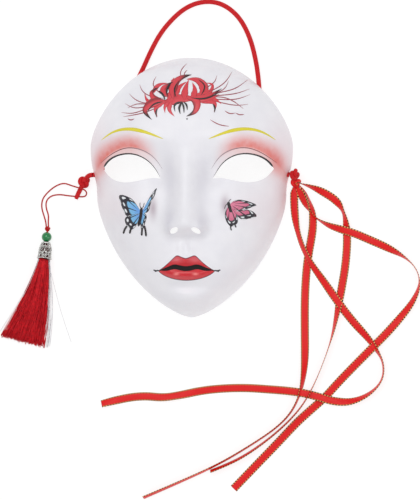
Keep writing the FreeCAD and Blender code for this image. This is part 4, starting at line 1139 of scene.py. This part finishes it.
def cap_radius(share):
    """The bell's radius from its neck to its mouth."""
    return np.interp(share, [0.0, 0.08, 0.2, 0.45, 0.78, 1.0], [2.6, 3.9, 4.6, 5.2, 5.3, 6.0])


def on_cap(angle, share, out=0.0):
    """Points on the bell at an angle and a share of its length, moved out by a distance."""
    return round_axis(angle, cap_radius(share) + out, CAP_START + CAP_LENGTH * np.asarray(share))


silver = Finish("oxidised_silver", Metallic=1.0, Roughness=0.28)
tarnish = silver.noise(900.0, 4.0)
silver.feed(
    Base_Color=silver.mix((tarnish * 2.0 - 0.5).clamped(), paint(120, 116, 112), paint(255, 255, 252)),
    Roughness=tarnish * 0.3 + 0.14)
silver.bump(tarnish, 0.08 * MM)
PETALS = 6
scroll_turn = np.linspace(0.0, 1.0, 40)
cap_wires = []
for petal in range(PETALS):
    middle = 2.0 * math.pi * petal / PETALS
    half = math.pi / PETALS
    arch = np.sin(scroll_turn * math.pi)
    for side in (-1.0, 1.0):
        cap_wires.append(on_cap(middle + side * half * 0.92 * np.sqrt(arch), 0.24 + 0.5 * scroll_turn))
        spin = scroll_turn * 3.6 * math.pi
        curl = 1.0 - scroll_turn * 0.82
        for out, reach, at, tall in ((0.42, 0.4, 0.62, 0.085), (0.62, 0.34, 0.86, -0.075)):
            angle = middle + side * half * (out - reach * curl * np.cos(spin))
            cap_wires.append(on_cap(angle, at + tall * curl * np.sin(spin), 0.1))
    cap_wires.append(on_cap(middle + half * 0.36 * np.cos(2.0 * math.pi * scroll_turn),
                            0.4 + 0.1 * np.sin(2.0 * math.pi * scroll_turn), 0.1))
    cap_wires.append(on_cap(middle + half, 0.04 + 0.3 * scroll_turn))
    cap_wires.append(on_cap(middle, 0.04 + 0.24 * scroll_turn))
cap_scrolls = tubes("filigree_cap_scrolls", cap_wires, 0.3 * MM, 8, silver, (0.37, 0.21, 0.9))
ring_profiles = ((0.03, 0.9, 0.95), (0.25, 0.42, 0.45), (0.76, 0.38, 0.4), (0.97, 0.6, 0.55))
for number, (share, thick, tall) in enumerate(ring_profiles):
    at = cap_radius(share)
    turns = np.linspace(0.0, 2.0 * math.pi, 12, endpoint=False)
    profile = [(at + thick * math.cos(a), CAP_START + CAP_LENGTH * share + tall * math.sin(a)) for a in turns]
    cap_ring = lathe("filigree_cap_ring_%d" % number, profile, silver)
    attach(cap_ring, "tassel")
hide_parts("filigree_cap")
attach(cap_scrolls, "tassel")

# ----------------------------------------
# The bound head and the doubled cord: red thread wound tight inside the cap, and the two
# strands that run from the knot through the bead into it.
# ----------------------------------------

# Painted shade: the head's thread is coloured far darker than the red threads outside the cap, as the shade
# inside it, and its stripes darken further along the winding's grooves.
wound = Finish("wound_red_thread_in_painted_shade", Roughness=0.6, Sheen_Weight=0.2)
wound_around, wound_far = wound.uv()
coil = ((wound_far * 2.6 + wound_around) * (2.0 * math.pi)).sine() * 0.5 + 0.5
wound.feed(Base_Color=wound.mix(coil, paint(34, 4, 8), paint(118, 10, 22)))
wound.bump(coil, 0.2 * MM)
head_profile = [(0.6, 6.4), (2.2, 6.4), (3.6, 8.4), (4.2, 11.0), (4.2, 16.0), (4.7, 18.7), (0.6, 18.7)]
head = lathe("tassel_bound_head", head_profile, wound)
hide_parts("tassel_core")
strand_far = np.linspace(-7.4, 7.0, 60)
strand_out = np.full_like(strand_far, 0.46)
strands = [round_axis(strand_far * 1.1 + offset, strand_out, strand_far) for offset in (0.0, math.pi)]
stem = tubes("tassel_doubled_cord", strands, 0.48 * MM, 10, cord_thread, (0.3, 0.2, 0.93))
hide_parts("tassel_stem")
knot_middle = (BEAD_CENTRE + TASSEL_AXIS * -6.95) * MM
knot_middle[2] = max(knot_middle[2], 2.4 * MM)
cord_knot_line = knot_line(knot_middle, 1.15 * MM, 0.62 * MM, 0.3, 0.6)
cord_knot = tube("tassel_overhand_knot", cord_knot_line, 0.78 * MM, 12, cord_thread, (0.3, 0.2, 0.93))
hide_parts("tassel_cord_knot")
for piece in (head, stem, cord_knot):
    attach(piece, "tassel")

# ----------------------------------------
# The skirt: hundreds of fine red threads that leave the cap's mouth and lie down in a fan,
# with a few strands of silver tinsel among them.
# ----------------------------------------

SKIRT_LENGTH = 73.0
THREAD_RINGS = 13
THREAD_SIDES = 4
RIGHT_EDGE_SHARE = 0.9
SKIRT_START = 18.85
SKIRT_BOW = 8.0
SKIRT_SHARES = [0.0, 0.12, 0.38, 0.7, 1.0, 1.3]
SKIRT_WIDE = [4.3, 5.9, 9.8, 14.6, 19.6, 22.0]
SKIRT_TALL = [4.0, 4.1, 3.5, 2.7, 1.9, 1.2]
SKIRT_MIDDLE_Z = [7.46, 6.1, 4.4, 3.4, 2.4, 1.6]
LOWEST_THREAD = 0.45
SKIRT_WAY = unit(np.array([-0.25, -0.968, 0.0]))
SKIRT_SIDE = unit(np.cross((0.0, 0.0, 1.0), SKIRT_WAY))
skirt_top = BEAD_CENTRE + TASSEL_AXIS * SKIRT_START


def skirt_lines(place_side, place_up, reach, wave, seed):
    """Threads as lines from the cap's mouth.  Each keeps its place in the bundle's section,
    a flat oval that widens and sinks along the way, and wanders a little with its own wave."""
    chance = np.random.default_rng(seed)
    share = np.linspace(0.0, 1.0, THREAD_RINGS)[None] * reach[:, None]
    wide, tall, middle_z = (
        np.interp(share, SKIRT_SHARES, sizes) for sizes in (SKIRT_WIDE, SKIRT_TALL, SKIRT_MIDDLE_Z))
    phase = chance.uniform(0.0, 2.0 * math.pi, (len(reach), 2, 1))
    pace = chance.uniform(3.0, 9.0, (len(reach), 2, 1))
    drift = wave * share * (np.sin(share * pace[:, 0] + phase[:, 0]) - np.sin(phase[:, 0]))
    bob = 0.4 * wave * share * np.sin(share * pace[:, 1] * 2.0 + phase[:, 1])
    plan = skirt_top + SKIRT_WAY * (share * SKIRT_LENGTH)[..., None] + SKIRT_SIDE * (
        wide * place_side[:, None] + drift)[..., None]
    plan[..., 0] += SKIRT_BOW * share * (1.0 - share)
    plan[..., 2] = np.maximum(middle_z + tall * place_up[:, None] + bob, LOWEST_THREAD)
    return plan * MM


threads = Finish("red_silk_threads", Roughness=0.55, Specular_IOR_Level=0.3)
around_thread, thread_far = threads.uv()
twist_mark = ((thread_far * 1.6 + around_thread) * (2.0 * math.pi)).sine() * 0.5 + 0.5
# Darker and lighter patches at random over the threads.
thread_tone = threads.noise(420.0, 4.0)
threads.feed(Base_Color=threads.mix(
    (thread_tone * 1.7 - 0.45 + twist_mark * 0.12).clamped(), paint(176, 6, 24), paint(236, 24, 38)))
threads.bump(twist_mark, 0.05 * MM)
chance = np.random.default_rng(11)
THREADS = 560
ring_share = np.sqrt(chance.uniform(0.0, 1.0, THREADS))
ring_angle = chance.uniform(0.0, 2.0 * math.pi, THREADS)
ends = chance.normal(0.985, 0.012, THREADS)
sideways = ring_share * np.cos(ring_angle)
sideways = np.where(sideways > 0.0, sideways * RIGHT_EDGE_SHARE, sideways)
skirt = tubes(
    "tassel_thread_skirt",
    skirt_lines(sideways, ring_share * np.sin(ring_angle), ends, 1.3, 5),
    0.27 * MM, THREAD_SIDES, threads)
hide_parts("tassel_skirt")
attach(skirt, "tassel")

tinsel_metal = Finish("silver_tinsel", Metallic=0.9, Roughness=0.2)
glint = tinsel_metal.noise(1500.0, 2.0)
tinsel_metal.feed(
    Base_Color=tinsel_metal.mix(glint, paint(170, 172, 182), paint(255, 255, 255)),
    Roughness=glint * 0.4 + 0.1)
tinsel_side = np.array([-1.1, -1.05, -0.98, 1.06, 1.12, 1.0, 1.08, 1.03, 1.1, 1.15, 0.97])
tinsel_up = np.array([0.2, 0.0, 0.6, 0.1, -0.2, 0.5, 0.3, 0.2, 0.0, 0.4, 0.6])
tinsel_reach = np.array([0.97, 0.9, 0.5, 0.99, 0.97, 0.8, 0.95, 0.99, 0.98, 0.94, 0.99])
tinsel_lines = skirt_lines(tinsel_side, tinsel_up, tinsel_reach, 1.1, 3)
tinsel = tubes("silver_tinsel_strands", tinsel_lines, 0.2 * MM, 5, tinsel_metal)
long_strand_line = evenly(smooth_line(np.array([
    (-122.0, -61.0, 8.0), (-118.8, -74.0, 5.0), (-113.5, -97.0, 1.8), (-107.5, -117.0, 0.8),
    (-102.5, -131.0, 0.6)]) * MM), 1.0 * MM)
long_strand = tube("silver_tinsel_stray_strand", long_strand_line, 0.16 * MM, 5, tinsel_metal)
for piece in (tinsel, long_strand):
    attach(piece, "tassel")
